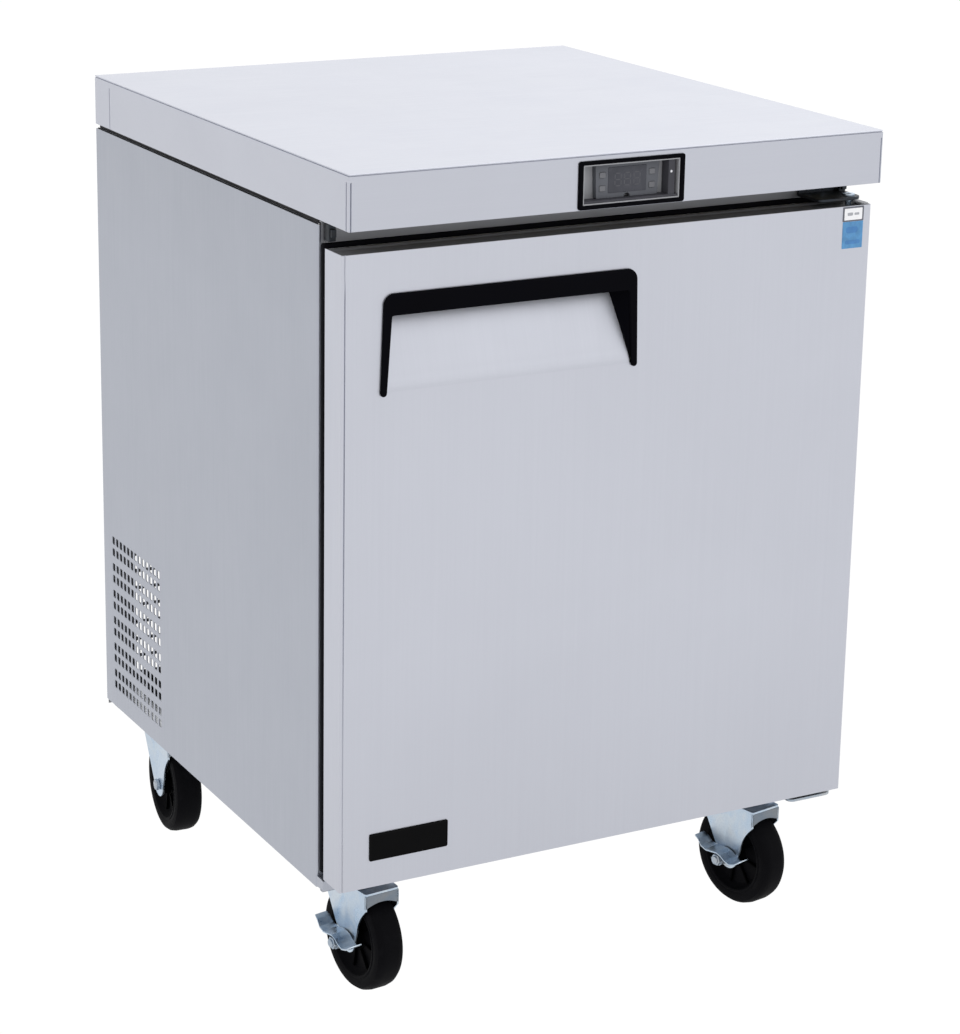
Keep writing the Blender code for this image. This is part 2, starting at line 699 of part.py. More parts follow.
def handle_outline():
    """Front view (x, z) of the black trim: a bar with two legs that taper to round ends."""
    x0, x1, top = HANDLE_LEFT, HANDLE_RIGHT, HANDLE_TOP
    foot, bar, leg = HANDLE_FOOT, HANDLE_TOP - HANDLE_BAR, HANDLE_LEG
    flare, radius, tip = HANDLE_FLARE, 0.0130, 0.0038
    points = []
    for k in range(6):
        angle = math.radians(180 - 90 * k / 5)
        points.append((x0 + radius + radius * math.cos(angle), top - radius + radius * math.sin(angle)))
    for k in range(6):
        angle = math.radians(90 - 90 * k / 5)
        points.append((x1 - radius + radius * math.cos(angle), top - radius + radius * math.sin(angle)))
    for centre, turns in ((x1 + flare - tip, 1), (x0 - flare + tip, -1)):
        tips = []
        for k in range(6):
            angle = math.radians(-180 * k / 5)
            tips.append((centre + tip * math.cos(angle), foot + tip + tip * math.sin(angle)))
        if turns == 1:
            points += tips + [(x1 - leg, bar)]
        else:
            points += [(x0 + leg, bar)] + tips
    return points


def make_handle():
    """Grip of three pieces: black trim with the hollow's walls, and the sloped steel floor."""
    trim = prism("handle_trim", handle_outline(), "Y", DOOR_FRONT - 0.0030, DOOR_FRONT - GAP,
                 dark_plastic())
    wall = 0.0018
    walls = pocket_wedge("cutter", wall, 0.0010, dark_plastic())
    inner = pocket_wedge("cutter", 0.0, 0.0300, dark_plastic())
    cut(walls, inner)
    below = pocket_floor_block(0.0001)
    cut(walls, below)
    join(trim, walls)
    cut(trim, pocket_wedge("cutter", 0.0, -0.0001, dark_plastic()))
    floor = pocket_floor_plate()
    return trim, floor


def pocket_slope():
    """Points (y, z) of the hollow's floor line at the skin and at full depth, and its normal."""
    start = Vector((DOOR_FRONT, POCKET_FOOT))
    end = Vector((DOOR_FRONT + POCKET_DEPTH, POCKET_TOP))
    run = (end - start).normalized()
    return start, end, Vector((run.y, -run.x))


def pocket_floor_block(gap):
    """Everything behind the floor line, as a tool."""
    start, end, out = pocket_slope()
    run = (end - start).normalized()
    a, b = start - run * 0.03, end + run * 0.0
    outline = [tuple(a + out * gap), tuple(b + out * gap), tuple(b + out * 0.05),
               tuple(a + out * 0.05)]
    return prism("cutter", outline, "X", -0.35, 0.35, dark_plastic())


def pocket_floor_plate():
    """Steel sheet that closes the hollow's sloped back."""
    start, end, out = pocket_slope()
    run = (end - start).normalized()
    a, b = start + run * 0.0022, end - run * 0.0012
    near, far = GAP, GAP + 0.0010
    clearance = 0.0006
    corners = []
    for point in (a, b):
        left, right = pocket_sides(point.x, point.y)
        corners.append((left + clearance, right - clearance, point))
    bm = bmesh.new()
    layers = []
    for offset in (near, far):
        ring = []
        for (x0, x1, point), flip in zip(corners, (False, True)):
            shifted = point + out * offset
            pair = [(x0, shifted.x, shifted.y), (x1, shifted.x, shifted.y)]
            ring += pair[::-1] if flip else pair
        layers.append([bm.verts.new(p) for p in ring])
    bm.faces.new(layers[0])
    bm.faces.new(layers[1])
    for k in range(4):
        j = (k + 1) % 4
        bm.faces.new((layers[0][k], layers[0][j], layers[1][j], layers[1][k]))
    return add_object("handle_floor", bm, stainless())


def make_nameplate():
    """Blank nameplate low on the door's front."""
    y = DOOR_FRONT - GAP
    return (box("nameplate", (-0.306, y - 0.0010, 0.1870), (-0.206, y, 0.2200), dark_plastic()),)


def make_hinges():
    """Angle brackets on the cabinet's rails, each with the pin that the door turns on."""
    top_face = FRAME_FRONT - GAP
    plate_z = DOOR_TOP + 0.0050
    top = box("top_hinge", (0.2760, HINGE_Y - 0.0120, plate_z),
              (0.3370, top_face, plate_z + 0.0035), zinc())
    join(top, box("cutter", (0.2760, top_face - 0.0035, plate_z + 0.001),
                  (0.3370, top_face, plate_z + 0.0160), zinc()))
    pin = disc("cutter", HINGE_PIN_R, DOOR_TOP - 0.0090, plate_z + 0.0020, "Z", 20, zinc())
    pin.location = (HINGE_X, HINGE_Y, 0.0)
    join(top, pin)
    rail_face = PANEL_FRONT - 0.0165 - GAP
    plate_z = DOOR_BOTTOM - 0.0070
    low = box("bottom_hinge", (0.2760, HINGE_Y - 0.0120, plate_z - 0.0035),
              (0.3400, rail_face, plate_z), zinc())
    join(low, box("cutter", (0.2760, rail_face - 0.0035, PANEL_BOTTOM + 0.0005),
                  (0.3400, rail_face, plate_z - 0.001), zinc()))
    pin = disc("cutter", HINGE_PIN_R, plate_z - 0.0020, DOOR_BOTTOM + 0.0090, "Z", 20, zinc())
    pin.location = (HINGE_X, HINGE_Y, 0.0)
    join(low, pin)


# ---------------------------------------------------------------- casters
def fork_side(x0, x1):
    """One leg of the fork: wide under the crown, hollowed in front, narrow round the axle."""
    points = [(0.0180, CROWN_HIGH), (CROWN_FRONT, CROWN_HIGH), (CROWN_FRONT, 0.1125),
              (-0.0640, 0.1035), (-0.0585, 0.0935), (-0.0560, 0.0800)]
    radius = 0.0160
    turns = 8
    for k in range(turns + 1):
        angle = math.radians(200 + 160 * k / turns)
        points.append((-TRAIL + radius * math.cos(angle), WHEEL_R + radius * math.sin(angle)))
    return prism("cutter", points, "X", x0, x1, zinc())


def make_fork_mesh():
    """Swivel fork about its own vertical axis, in place over the floor."""
    inner, outer = WHEEL_HALF_W + 0.0025, WHEEL_HALF_W + 0.0050
    fork = box("fork", (-outer, CROWN_FRONT, CROWN_LOW), (outer, CROWN_BACK, CROWN_HIGH), zinc())
    join(fork, fork_side(-outer, -inner))
    join(fork, fork_side(inner, outer))
    join(fork, disc("cutter", 0.0300, CROWN_HIGH - 0.0010, 0.1440, "Z", 24, zinc()))
    cut(fork, disc("cutter", KINGPIN_R + GAP, 0.12, 0.16, "Z", 16, zinc()))
    bolt = make_axle_bolt()
    bolt.data.transform(Matrix.Translation((0.0, -TRAIL, WHEEL_R)))
    return join(fork, bolt)


def make_plate_mesh():
    """Top plate with its bearing race and kingpin, about the swivel axis."""
    plate = box("plate", (-0.0380, -0.0330, 0.1465), (0.0380, 0.0330, BASE_BOTTOM - GAP), zinc())
    join(plate, disc("cutter", 0.0260, 0.1445, 0.1475, "Z", 24, zinc()))
    join(plate, disc("cutter", KINGPIN_R, CROWN_LOW, 0.1470, "Z", 16, zinc()))
    return plate


def make_wheel_mesh():
    """Rubber wheel about X: crowned tread, recessed faces and a hub round the axle."""
    w = WHEEL_HALF_W
    bore = AXLE_R + GAP
    profile = [
        (bore, -w), (0.0120, -w), (0.0140, -w + 0.009), (0.0400, -w + 0.009),
        (0.0450, -w + 0.001), (0.0560, -w), (WHEEL_R - 0.0020, -w + 0.005), (WHEEL_R, 0.0),
        (WHEEL_R - 0.0020, w - 0.005), (0.0560, w), (0.0450, w - 0.001),
        (0.0400, w - 0.009), (0.0140, w - 0.009), (0.0120, w), (bore, w),
    ]
    return turned("wheel", profile, "X", 24, rubber())


def make_axle_bolt():
    """Bolt through the wheel, riveted to the fork's legs, with a head at each end."""
    out = WHEEL_HALF_W + 0.0045
    end = out + 0.0060
    profile = [(0.0, -end), (BOLT_HEAD_R, -end), (BOLT_HEAD_R, -out), (AXLE_R, -out),
               (AXLE_R, out), (BOLT_HEAD_R, out), (BOLT_HEAD_R, end), (0.0, end)]
    return turned("cutter", profile, "X", 16, zinc())


def make_brake_mesh():
    """Two-winged brake lever that rocks on the axle's end, outside the fork."""
    x_in = -(WHEEL_HALF_W + 0.0050 + GAP)
    thick = 0.0016
    top = [(0.040, 0.0100), (0.022, 0.0030), (0.0, 0.0000), (-0.022, -0.0030), (-0.040, -0.0020)]
    outline = top + [(y, z - thick) for y, z in reversed(top)]
    outline = [(y, z + 0.0125) for y, z in outline]
    lever = prism("brake", outline, "X", x_in - 0.0240, x_in - 0.0007, zinc())
    hub = disc("cutter", 0.0150, x_in - 0.0030, x_in, "X", 20, zinc())
    join(lever, hub)
    clear = disc("cutter", BOLT_HEAD_R + GAP, -0.2, 0.2, "X", 20, zinc())
    cut(lever, clear)
    return lever


def copy_of(source, name, location, turn, origin):
    """Object that shares a finished mesh, placed by its own origin."""
    obj = bpy.data.objects.new(name, source.data)
    bpy.context.scene.collection.objects.link(obj)
    offset = Matrix.Rotation(math.radians(turn), 4, "Z") @ Vector(origin)
    place(obj, Vector(location) + offset, None, turn)
    return obj


def make_casters():
    """Four swivel casters; the front two have brakes."""
    plate, fork = make_plate_mesh(), make_fork_mesh()
    wheel, brake = make_wheel_mesh(), make_brake_mesh()
    axle_at = (0.0, -TRAIL, WHEEL_R)
    for name, (x, y, turn) in CASTERS.items():
        floor_point = (x, y, 0.0)
        copy_of(plate, f"caster_plate_{name}", floor_point, 0.0, (0.0, 0.0, 0.0))
        copy_of(fork, f"caster_fork_{name}", floor_point, turn, (0.0, 0.0, 0.0))
        copy_of(wheel, f"caster_wheel_{name}", floor_point, turn, axle_at)
        if name.startswith("front"):
            copy_of(brake, f"brake_lever_{name}", floor_point, turn, axle_at)
    for source in (plate, fork, wheel, brake):
        bpy.data.objects.remove(source, do_unlink=True)


def main():
    clear_scene()
    make_worktop()
    make_body()
    make_side_panel("side_panel_left", -1)
    make_side_panel("side_panel_right", 1)
    make_back()
    make_base()
    make_front_frame()
    make_shelving()
    make_evaporator()
    make_machine()
    make_controls()
    pivot = bpy.data.objects.new("door_pivot", None)
    bpy.context.scene.collection.objects.link(pivot)
    pivot.location = (HINGE_X, HINGE_Y, 0.0)
    make_door(pivot)
    make_hinges()
    make_casters()


main()
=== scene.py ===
"""The looks of a one-door undercounter refrigerator: pieces, materials, floor, light and camera.

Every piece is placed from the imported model's nodes, in metres, with +Z up and the door facing -Y.
"""
import json
from itertools import product
from math import atan2, cos, hypot, pi, radians, sin

import bmesh
import bpy
from mathutils import Matrix, Vector


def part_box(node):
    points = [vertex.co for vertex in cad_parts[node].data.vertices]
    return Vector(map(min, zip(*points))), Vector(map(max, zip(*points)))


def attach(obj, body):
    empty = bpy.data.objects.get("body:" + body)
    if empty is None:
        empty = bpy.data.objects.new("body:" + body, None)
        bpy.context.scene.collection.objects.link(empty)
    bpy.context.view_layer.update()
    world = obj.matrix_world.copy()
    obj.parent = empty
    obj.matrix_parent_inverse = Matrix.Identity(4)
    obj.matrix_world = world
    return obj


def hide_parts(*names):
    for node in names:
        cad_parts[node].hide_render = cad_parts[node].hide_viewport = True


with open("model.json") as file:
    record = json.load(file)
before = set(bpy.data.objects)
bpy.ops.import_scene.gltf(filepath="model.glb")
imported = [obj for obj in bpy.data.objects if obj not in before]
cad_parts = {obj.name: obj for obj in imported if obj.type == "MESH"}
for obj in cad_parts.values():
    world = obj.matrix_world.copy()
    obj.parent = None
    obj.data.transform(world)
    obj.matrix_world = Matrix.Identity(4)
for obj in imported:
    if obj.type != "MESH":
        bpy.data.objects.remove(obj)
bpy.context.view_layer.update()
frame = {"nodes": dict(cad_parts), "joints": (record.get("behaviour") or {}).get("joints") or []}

CABINET, DOOR = "cabinet", "door"
SHEET = 0.0014                      # folded stainless sheet
BEND = 0.0022                       # outside radius of a fold
ARC_STEPS = 5                       # faces round a quarter turn
LAY = 0.0001                        # gap under a screw's head or a bolt's washer


# ---------------------------------------------------------------- outlines
def arc(centre, radius, start, end, steps=ARC_STEPS):
    """Points along an arc, with its angles in degrees."""
    points = []
    for k in range(steps + 1):
        angle = radians(start + (end - start) * k / steps)
        points.append((centre[0] + radius * cos(angle), centre[1] + radius * sin(angle)))
    return points


def fillet(points, radius, steps=ARC_STEPS, closed=True):
    """The outline with its corners rounded. radius is one number, or one for each point."""
    count = len(points)
    radii = radius if hasattr(radius, "__len__") else [radius] * count
    result = []
    for k, (point, r) in enumerate(zip(points, radii)):
        inner = closed or 0 < k < count - 1
        here = Vector(point)
        if not inner or r <= 0.0:
            result.append(tuple(here))
            continue
        before = (Vector(points[k - 1]) - here).normalized()
        after = (Vector(points[(k + 1) % count]) - here).normalized()
        half = before.angle(after) / 2
        reach = r * cos(half) / sin(half)
        middle = (before + after).normalized() * (r / sin(half))
        a, b = before * reach - middle, after * reach - middle
        turn = a.angle(b)
        for j in range(steps + 1):
            t = j / steps
            blend = a * (sin((1 - t) * turn) / sin(turn)) + b * (sin(t * turn) / sin(turn))
            result.append(tuple(here + middle + blend))
    return result


def rectangle(x0, x1, y0, y1, radius=0.0, steps=ARC_STEPS):
    """A rectangle's outline, with round corners if it has a radius."""
    corners = [(x0, y0), (x1, y0), (x1, y1), (x0, y1)]
    return fillet(corners, radius, steps) if radius > 0.0 else corners


def ribbon(path, thickness):
    """The closed outline of a sheet: the path and the same path moved to its left."""
    points = [Vector(p) for p in path]
    moved = []
    for k, here in enumerate(points):
        before = (here - points[k - 1] if k else points[1] - here).normalized()
        after = (points[k + 1] - here).normalized() if k + 1 < len(points) else before
        along = (before + after).normalized()
        left = Vector((-along.y, along.x))
        moved.append(tuple(here + left * thickness / along.dot(after)))
    return list(path) + moved[::-1]


def placed(axis, a, b, t):
    """A point from two outline coordinates and a place along the axis."""
    if axis == "X":
        return (t, a, b)
    if axis == "Y":
        return (a, t, b)
    return (a, b, t)


# ---------------------------------------------------------------- mesh work
def loft(bm, rings, closed=False, capped=True):
    """Faces between rings of points. closed joins the last ring to the first."""
    made = [[bm.verts.new(p) for p in ring] for ring in rings]
    pairs = list(zip(made, made[1:]))
    if closed:
        pairs.append((made[-1], made[0]))
    for low, high in pairs:
        bridge(bm, low, high)
    if capped and not closed:
        bm.faces.new(made[0][::-1])
        bm.faces.new(made[-1])
    return made


def bridge(bm, first, second):
    """Faces between two closed rings of vertices."""
    for k in range(len(first)):
        j = (k + 1) % len(first)
        bm.faces.new((first[k], first[j], second[j], second[k]))


def patch(bm, grid, flipped=False):
    """Faces over a grid of vertices, which are returned."""
    faces = []
    for a, b in zip(grid, grid[1:]):
        for j in range(len(a) - 1):
            corners = (a[j], b[j], b[j + 1], a[j + 1])
            faces.append(bm.faces.new(corners[::-1] if flipped else corners))
    return faces


def extrude(bm, outline, axis, start, end):
    """A closed outline drawn out along an axis, with both ends filled."""
    loft(bm, [[placed(axis, a, b, t) for a, b in outline] for t in (start, end)])


def block(bm, low, high, radius=0.0, axis="Z"):
    """A box between two corners, with its edges along the axis rounded."""
    index = "XYZ".index(axis)
    a, b = [k for k in range(3) if k != index]
    outline = rectangle(low[a], high[a], low[b], high[b], radius)
    extrude(bm, outline, axis, low[index], high[index])


def framed(bm, rect, profile, axis, radius, closed=True, steps=ARC_STEPS):
    """A profile of (inset, place on the axis) carried round a rectangle."""
    x0, x1, z0, z1 = rect
    rings = []
    for inset, place in profile:
        corner = max(radius - inset, 0.0002) if radius > 0.0 else 0.0
        ring = rectangle(x0 + inset, x1 - inset, z0 + inset, z1 - inset, corner, steps)
        rings.append([placed(axis, a, b, place) for a, b in ring])
    loft(bm, rings, closed)


def turned(bm, profile, centre, axis, segments):
    """A closed profile of (radius, height) turned about an axis through centre."""
    count = len(profile)
    rings = []
    for k in range(segments):
        angle = 2 * pi * k / segments
        ring = []
        for r, h in profile:
            a, b = r * cos(angle), r * sin(angle)
            ring.append(bm.verts.new(Vector(centre) + Vector(placed(axis, a, b, h))))
        rings.append(ring)
    for k in range(segments):
        low, high = rings[k], rings[(k + 1) % segments]
        for j in range(count):
            i = (j + 1) % count
            if profile[j][0] > 0.0 or profile[i][0] > 0.0:
                bm.faces.new((low[j], low[i], high[i], high[j]))
    bmesh.ops.remove_doubles(bm, verts=[v for ring in rings for v in ring], dist=1e-6)


def tube(bm, points, radius, sides=8):
    """A round wire or pipe through the points, with flat ends."""
    points = [Vector(p) for p in points]
    normal = None
    rings = []
    for k, point in enumerate(points):
        along = (points[min(k + 1, len(points) - 1)] - points[max(k - 1, 0)]).normalized()
        if normal is None:
            helper = Vector((0, 0, 1)) if abs(along.z) < 0.9 else Vector((1, 0, 0))
            normal = along.cross(helper).normalized()
        normal = (normal - along * normal.dot(along)).normalized()
        side = along.cross(normal)
        ring = []
        for j in range(sides):
            angle = 2 * pi * j / sides
            ring.append(point + (normal * cos(angle) + side * sin(angle)) * radius)
        rings.append(ring)
    loft(bm, rings)


def sheet(bm, path, levels, axis, slots=None):
    """Sheet metal: a path of 2D points drawn out over levels, with round-cornered slots in cells.

    slots gives, for a cell (i, j), the slot's margins along the path and the levels, and its
    corner radius."""
    slots = slots or {}
    grid = [[bm.verts.new(placed(axis, a, b, level)) for level in levels] for a, b in path]
    for i in range(len(path) - 1):
        for j in range(len(levels) - 1):
            corners = (grid[i][j], grid[i + 1][j], grid[i + 1][j + 1], grid[i][j + 1])
            if (i, j) not in slots:
                bm.faces.new(corners)
                continue
            margin_u, margin_v, radius = slots[i, j]
            width = (Vector(path[i + 1]) - Vector(path[i])).length
            height = levels[j + 1] - levels[j]
            hole = rectangle(margin_u, width - margin_u, margin_v, height - margin_v, radius, 2)
            origin = corners[0].co.copy()
            along = (corners[1].co - origin) / width
            up = (corners[3].co - origin) / height
            rim = [bm.verts.new(origin + along * u + up * v) for u, v in hole]
            quarter = len(rim) // 4
            for k in range(4):
                corner = corners[k]
                run = rim[k * quarter:(k + 1) * quarter]
                for a, b in zip(run, run[1:]):
                    bm.faces.new((corner, b, a))
                nearest = rim[((k + 1) * quarter) % len(rim)]
                bm.faces.new((corner, corners[(k + 1) % 4], nearest, run[-1]))


def screw(bm, centre, axis, radius, height):
    """A pan-head screw with a cross recess. axis points out of the sheet: one of +X -X ... +Z."""
    sign = -1.0 if axis[0] == "-" else 1.0
    steps, waist = 16, 0.34
    turned_by = 0.35 if sign > 0 else 0.8
    head = [(1.0, 0.0), (1.0, 0.35), (0.86, 0.75), (0.62, 1.0)]
    recess = [(0.52, 1.0), (0.34, 0.35)]
    rings = []
    for scale, rise in head + recess:
        ring = []
        for k in range(steps):
            narrow = (scale, rise) in recess and k % 4 != 0
            r = radius * scale * (waist if narrow else 1.0)
            angle = 2 * pi * k / steps + turned_by
            point = placed(axis[1], r * cos(angle), r * sin(angle), sign * rise * height)
            ring.append(Vector(centre) + Vector(point))
        rings.append(ring)
    loft(bm, rings)


def joined(bm, part):
    """Move a part's faces into bm."""
    mesh = bpy.data.meshes.new("part")
    part.to_mesh(mesh)
    part.free()
    bm.from_mesh(mesh)
    bpy.data.meshes.remove(mesh)


def hexagon(bm, centre, axis, across, start, end):
    """A hexagonal nut or bolt head with chamfered ends, along an axis."""
    corner = across / 3 ** 0.5
    chamfer = across * 0.05
    rings = []
    for scale, t in ((0.93, start), (1.0, start + chamfer), (1.0, end - chamfer), (0.93, end)):
        ring = []
        for k in range(6):
            angle = 2 * pi * k / 6
            point = placed(axis, corner * scale * cos(angle), corner * scale * sin(angle), t)
            ring.append(Vector(centre) + Vector(point))
        rings.append(ring)
    loft(bm, rings)


def washer(bm, centre, axis, inner, outer, start, end, segments=28):
    """A flat ring along an axis."""
    section = [(inner, start), (outer, start), (outer, end), (inner, end)]
    turned(bm, section, centre, axis, segments)


def piece(name, bm, mat, body, slot, replaces=(), smooth=32.0, bevel=0.0, thicken=0.0,
          at=None, segments=2):
    """A finished piece: its normals, shading, modifiers, material and body. The slot argument is
    not used.

    thicken is a sheet's thickness: below zero it grows against the faces' normals."""
    if at is not None:
        bm.transform(at)
    if thicken == 0.0:
        bmesh.ops.recalc_face_normals(bm, faces=bm.faces[:])
    mesh = bpy.data.meshes.new(name)
    bm.to_mesh(mesh)
    bm.free()
    mesh.shade_smooth()
    mesh.set_sharp_from_angle(angle=radians(smooth))
    obj = bpy.data.objects.new(name, mesh)
    bpy.context.scene.collection.objects.link(obj)
    mesh.materials.append(mat)
    if thicken != 0.0:
        solid = obj.modifiers.new("Thickness", "SOLIDIFY")
        solid.thickness = abs(thicken)
        solid.offset = 1.0 if thicken > 0.0 else -1.0
        solid.use_even_offset = True
    if bevel > 0.0:
        rounding = obj.modifiers.new("Rounding", "BEVEL")
        rounding.width = bevel
        rounding.segments = segments
        rounding.limit_method = "ANGLE"
        rounding.angle_limit = radians(35.0)
        rounding.harden_normals = False
    weighted = obj.modifiers.new("Flat faces stay flat", "WEIGHTED_NORMAL")
    weighted.mode = "FACE_AREA"
    weighted.weight = 100
    weighted.keep_sharp = True
    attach(obj, body)
    if replaces:
        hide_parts(*replaces)


def screws(name, axis, y, spots, mat, body, radius, height):
    """A group of equal screws on a sheet at y, at spots (x, z), facing along the axis."""
    bm = bmesh.new()
    for x, z in spots:
        screw(bm, (x, y, z), axis, radius, height)
    piece(name, bm, mat, body, "zinc_steel", smooth=40.0)


# ---------------------------------------------------------------- materials
def shader_material(name, colour, metallic, roughness, **sockets):
    """A material whose constant values sit on the Principled BSDF's own sockets."""
    mat = bpy.data.materials.new(name)
    mat.use_nodes = True
    shader = mat.node_tree.nodes["Principled BSDF"]
    shader.inputs["Base Color"].default_value = (*colour, 1.0)
    shader.inputs["Metallic"].default_value = metallic
    shader.inputs["Roughness"].default_value = roughness
    for key, value in sockets.items():
        shader.inputs[key.replace("_", " ")].default_value = value
    return mat, mat.node_tree, shader


def coordinates(tree, scale):
    """The piece's own coordinates in metres, stretched by scale."""
    place = tree.nodes.new("ShaderNodeTexCoord")
    mapping = tree.nodes.new("ShaderNodeMapping")
    mapping.inputs["Scale"].default_value = scale
    tree.links.new(place.outputs["Object"], mapping.inputs["Vector"])
    return mapping.outputs["Vector"]


def noise(tree, scale, stretch=(1.0, 1.0, 1.0), detail=3.0, roughness=0.55, distortion=0.0):
    """A noise texture's value, scale in cycles per metre."""
    node = tree.nodes.new("ShaderNodeTexNoise")
    node.inputs["Scale"].default_value = 1.0
    node.inputs["Detail"].default_value = detail
    node.inputs["Roughness"].default_value = roughness
    node.inputs["Distortion"].default_value = distortion
    vector = coordinates(tree, tuple(scale * s for s in stretch))
    tree.links.new(vector, node.inputs["Vector"])
    return node.outputs["Fac"]


def cells(tree, scale):
    """A cell texture's distance, scale in cells per metre."""
    node = tree.nodes.new("ShaderNodeTexVoronoi")
    node.inputs["Scale"].default_value = 1.0
    tree.links.new(coordinates(tree, (scale, scale, scale)), node.inputs["Vector"])
    return node.outputs["Distance"]


def ranged(tree, value, low, high, start=0.3, end=0.7):
    """The value's stretch from start to end, laid over low to high."""
    node = tree.nodes.new("ShaderNodeMapRange")
    node.inputs["From Min"].default_value = start
    node.inputs["From Max"].default_value = end
    node.inputs["To Min"].default_value = low
    node.inputs["To Max"].default_value = high
    tree.links.new(value, node.inputs["Value"])
    return node.outputs["Result"]


def mixed(tree, value, first, second, start=0.3, end=0.7):
    """A colour ramp between two colours."""
    ramp = tree.nodes.new("ShaderNodeValToRGB")
    ramp.color_ramp.elements[0].position = start
    ramp.color_ramp.elements[0].color = (*first, 1.0)
    ramp.color_ramp.elements[1].position = end
    ramp.color_ramp.elements[1].color = (*second, 1.0)
    tree.links.new(value, ramp.inputs["Fac"])
    return ramp.outputs["Color"]


def multiplied(tree, first, second):
    """Two colours multiplied."""
    node = tree.nodes.new("ShaderNodeMix")
    node.data_type = "RGBA"
    node.blend_type = "MULTIPLY"
    node.inputs["Factor"].default_value = 1.0
    colour_a, colour_b, colour_out = node.inputs[6], node.inputs[7], node.outputs[2]
    tree.links.new(first, colour_a)
    tree.links.new(second, colour_b)
    return colour_out


def bumped(tree, shader, heights):
    """Surface relief from (value, strength, depth in metres), one over another."""
    normal = None
    for value, strength, depth in heights:
        node = tree.nodes.new("ShaderNodeBump")
        node.inputs["Strength"].default_value = strength
        node.inputs["Distance"].default_value = depth
        tree.links.new(value, node.inputs["Height"])
        if normal is not None:
            tree.links.new(normal, node.inputs["Normal"])
        normal = node.outputs["Normal"]
    tree.links.new(normal, shader.inputs["Normal"])


def shade(colour, factor):
    """The colour times a factor, kept within white."""
    return tuple(min(c * factor, 1.0) for c in colour)


def tinted(colour, factors):
    """The colour times one factor for each channel."""
    return tuple(c * factor for c, factor in zip(colour, factors))


def surface(tree, shader, colour, roughness):
    """Lead a colour and a roughness into the shader."""
    tree.links.new(colour, shader.inputs["Base Color"])
    tree.links.new(roughness, shader.inputs["Roughness"])


def painted_shading_ramp(tree, direction, first, second):
    """Painted light and shade: a tint that runs from the first (place, factor) along a direction to
    the second.
    """
    place = tree.nodes.new("ShaderNodeTexCoord")
    along = tree.nodes.new("ShaderNodeVectorMath")
    along.operation = "DOT_PRODUCT"
    along.inputs[1].default_value = direction
    tree.links.new(place.outputs["Object"], along.inputs[0])
    share = ranged(tree, along.outputs["Value"], 0.0, 1.0, first[0], second[0])
    return mixed(tree, share, (first[1],) * 3, (second[1],) * 3, 0.0, 1.0)


def brushed(name, colour, grain, roughness, contrast=0.016, painted_shading=()):
    """Brushed stainless: fine lines along the grain, with soft clouding and handling marks. The
    ramps in the last argument multiply painted light and shade into the colour.
    """
    mat, tree, shader = shader_material(name, colour, 1.0, roughness)
    stretch = tuple(0.006 if axis in grain else 1.0 for axis in "XYZ")
    lines = noise(tree, 1400.0, stretch, 2.0)
    streaks = noise(tree, 260.0, stretch, 3.0)
    clouds = noise(tree, 3.2, detail=4.0, roughness=0.6, distortion=0.6)
    tint = mixed(tree, clouds, shade(colour, 1.0 - contrast), shade(colour, 1.0 + contrast))
    grained = mixed(tree, streaks, (0.985, 0.985, 0.987), (1.0, 1.0, 1.0), 0.25, 0.75)
    base = multiplied(tree, tint, grained)
    for painted_ramp in painted_shading:
        base = multiplied(tree, base, painted_shading_ramp(tree, *painted_ramp))
    handled = noise(tree, 9.0, detail=5.0, roughness=0.7)
    rough = tree.nodes.new("ShaderNodeMath")
    rough.operation = "ADD"
    tree.links.new(ranged(tree, lines, roughness - 0.05, roughness + 0.05), rough.inputs[0])
    tree.links.new(ranged(tree, handled, -0.02, 0.035), rough.inputs[1])
    surface(tree, shader, base, rough.outputs[0])
    bumped(tree, shader, [(lines, 0.06, 0.00004), (streaks, 0.05, 0.00008)])
    return mat


def moulded(name, colour, roughness, grain=2600.0, relief=0.12, specular=0.12,
            mottling=0.16):
    """Moulded plastic with a fine spark-eroded texture, a little uneven in gloss and tone."""
    mat, tree, shader = shader_material(name, colour, 0.0, roughness,
                                        Specular_IOR_Level=specular)
    clouds = noise(tree, 14.0, detail=4.0)
    tint = mixed(tree, clouds, shade(colour, 1.0 - mottling), shade(colour, 1.0 + mottling))
    fine = noise(tree, grain, detail=3.0)
    swing = 0.4 * mottling
    surface(tree, shader, tint, ranged(tree, clouds, roughness - swing, roughness + swing))
    bumped(tree, shader, [(fine, relief, 0.00006)])
    return mat


def zinc_plate(name="zinc_plate", colour=(0.5, 0.58, 0.66), roughness=0.3):
    """Bright zinc plate with a cold blue cast that wanders a little to straw and violet."""
    mat, tree, shader = shader_material(name, colour, 1.0, roughness)
    wander = noise(tree, 38.0, detail=3.0, distortion=0.8)
    cast = mixed(tree, wander, tinted(colour, (0.86, 0.92, 0.99)),
                 tinted(colour, (1.16, 1.1, 1.05)), 0.35, 0.68)
    patches = cells(tree, 420.0)
    tone = mixed(tree, patches, (0.9, 0.91, 0.93), (1.0, 1.0, 1.0), 0.1, 0.7)
    surface(tree, shader, multiplied(tree, cast, tone),
            ranged(tree, wander, roughness - 0.06, roughness + 0.12))
    fine = noise(tree, 900.0, detail=2.0)
    bumped(tree, shader, [(fine, 0.1, 0.00008)])
    return mat


def rubber(name, colour, roughness, dust, specular=0.1):
    """Black rubber: matt, finely pitted, paler where dust and scuffs have settled."""
    mat, tree, shader = shader_material(name, colour, 0.0, roughness,
                                        Specular_IOR_Level=specular)
    scuff = noise(tree, 55.0, detail=6.0, roughness=0.72)
    pale = tuple(c + 0.035 * dust for c in shade(colour, 1.5))
    surface(tree, shader, mixed(tree, scuff, colour, pale, 0.48, 0.8),
            ranged(tree, scuff, roughness - 0.1, roughness + 0.14))
    pits = noise(tree, 1500.0, detail=3.0)
    waves = noise(tree, 130.0, detail=2.0)
    bumped(tree, shader, [(pits, 0.18, 0.0001), (waves, 0.08, 0.0003)])
    return mat


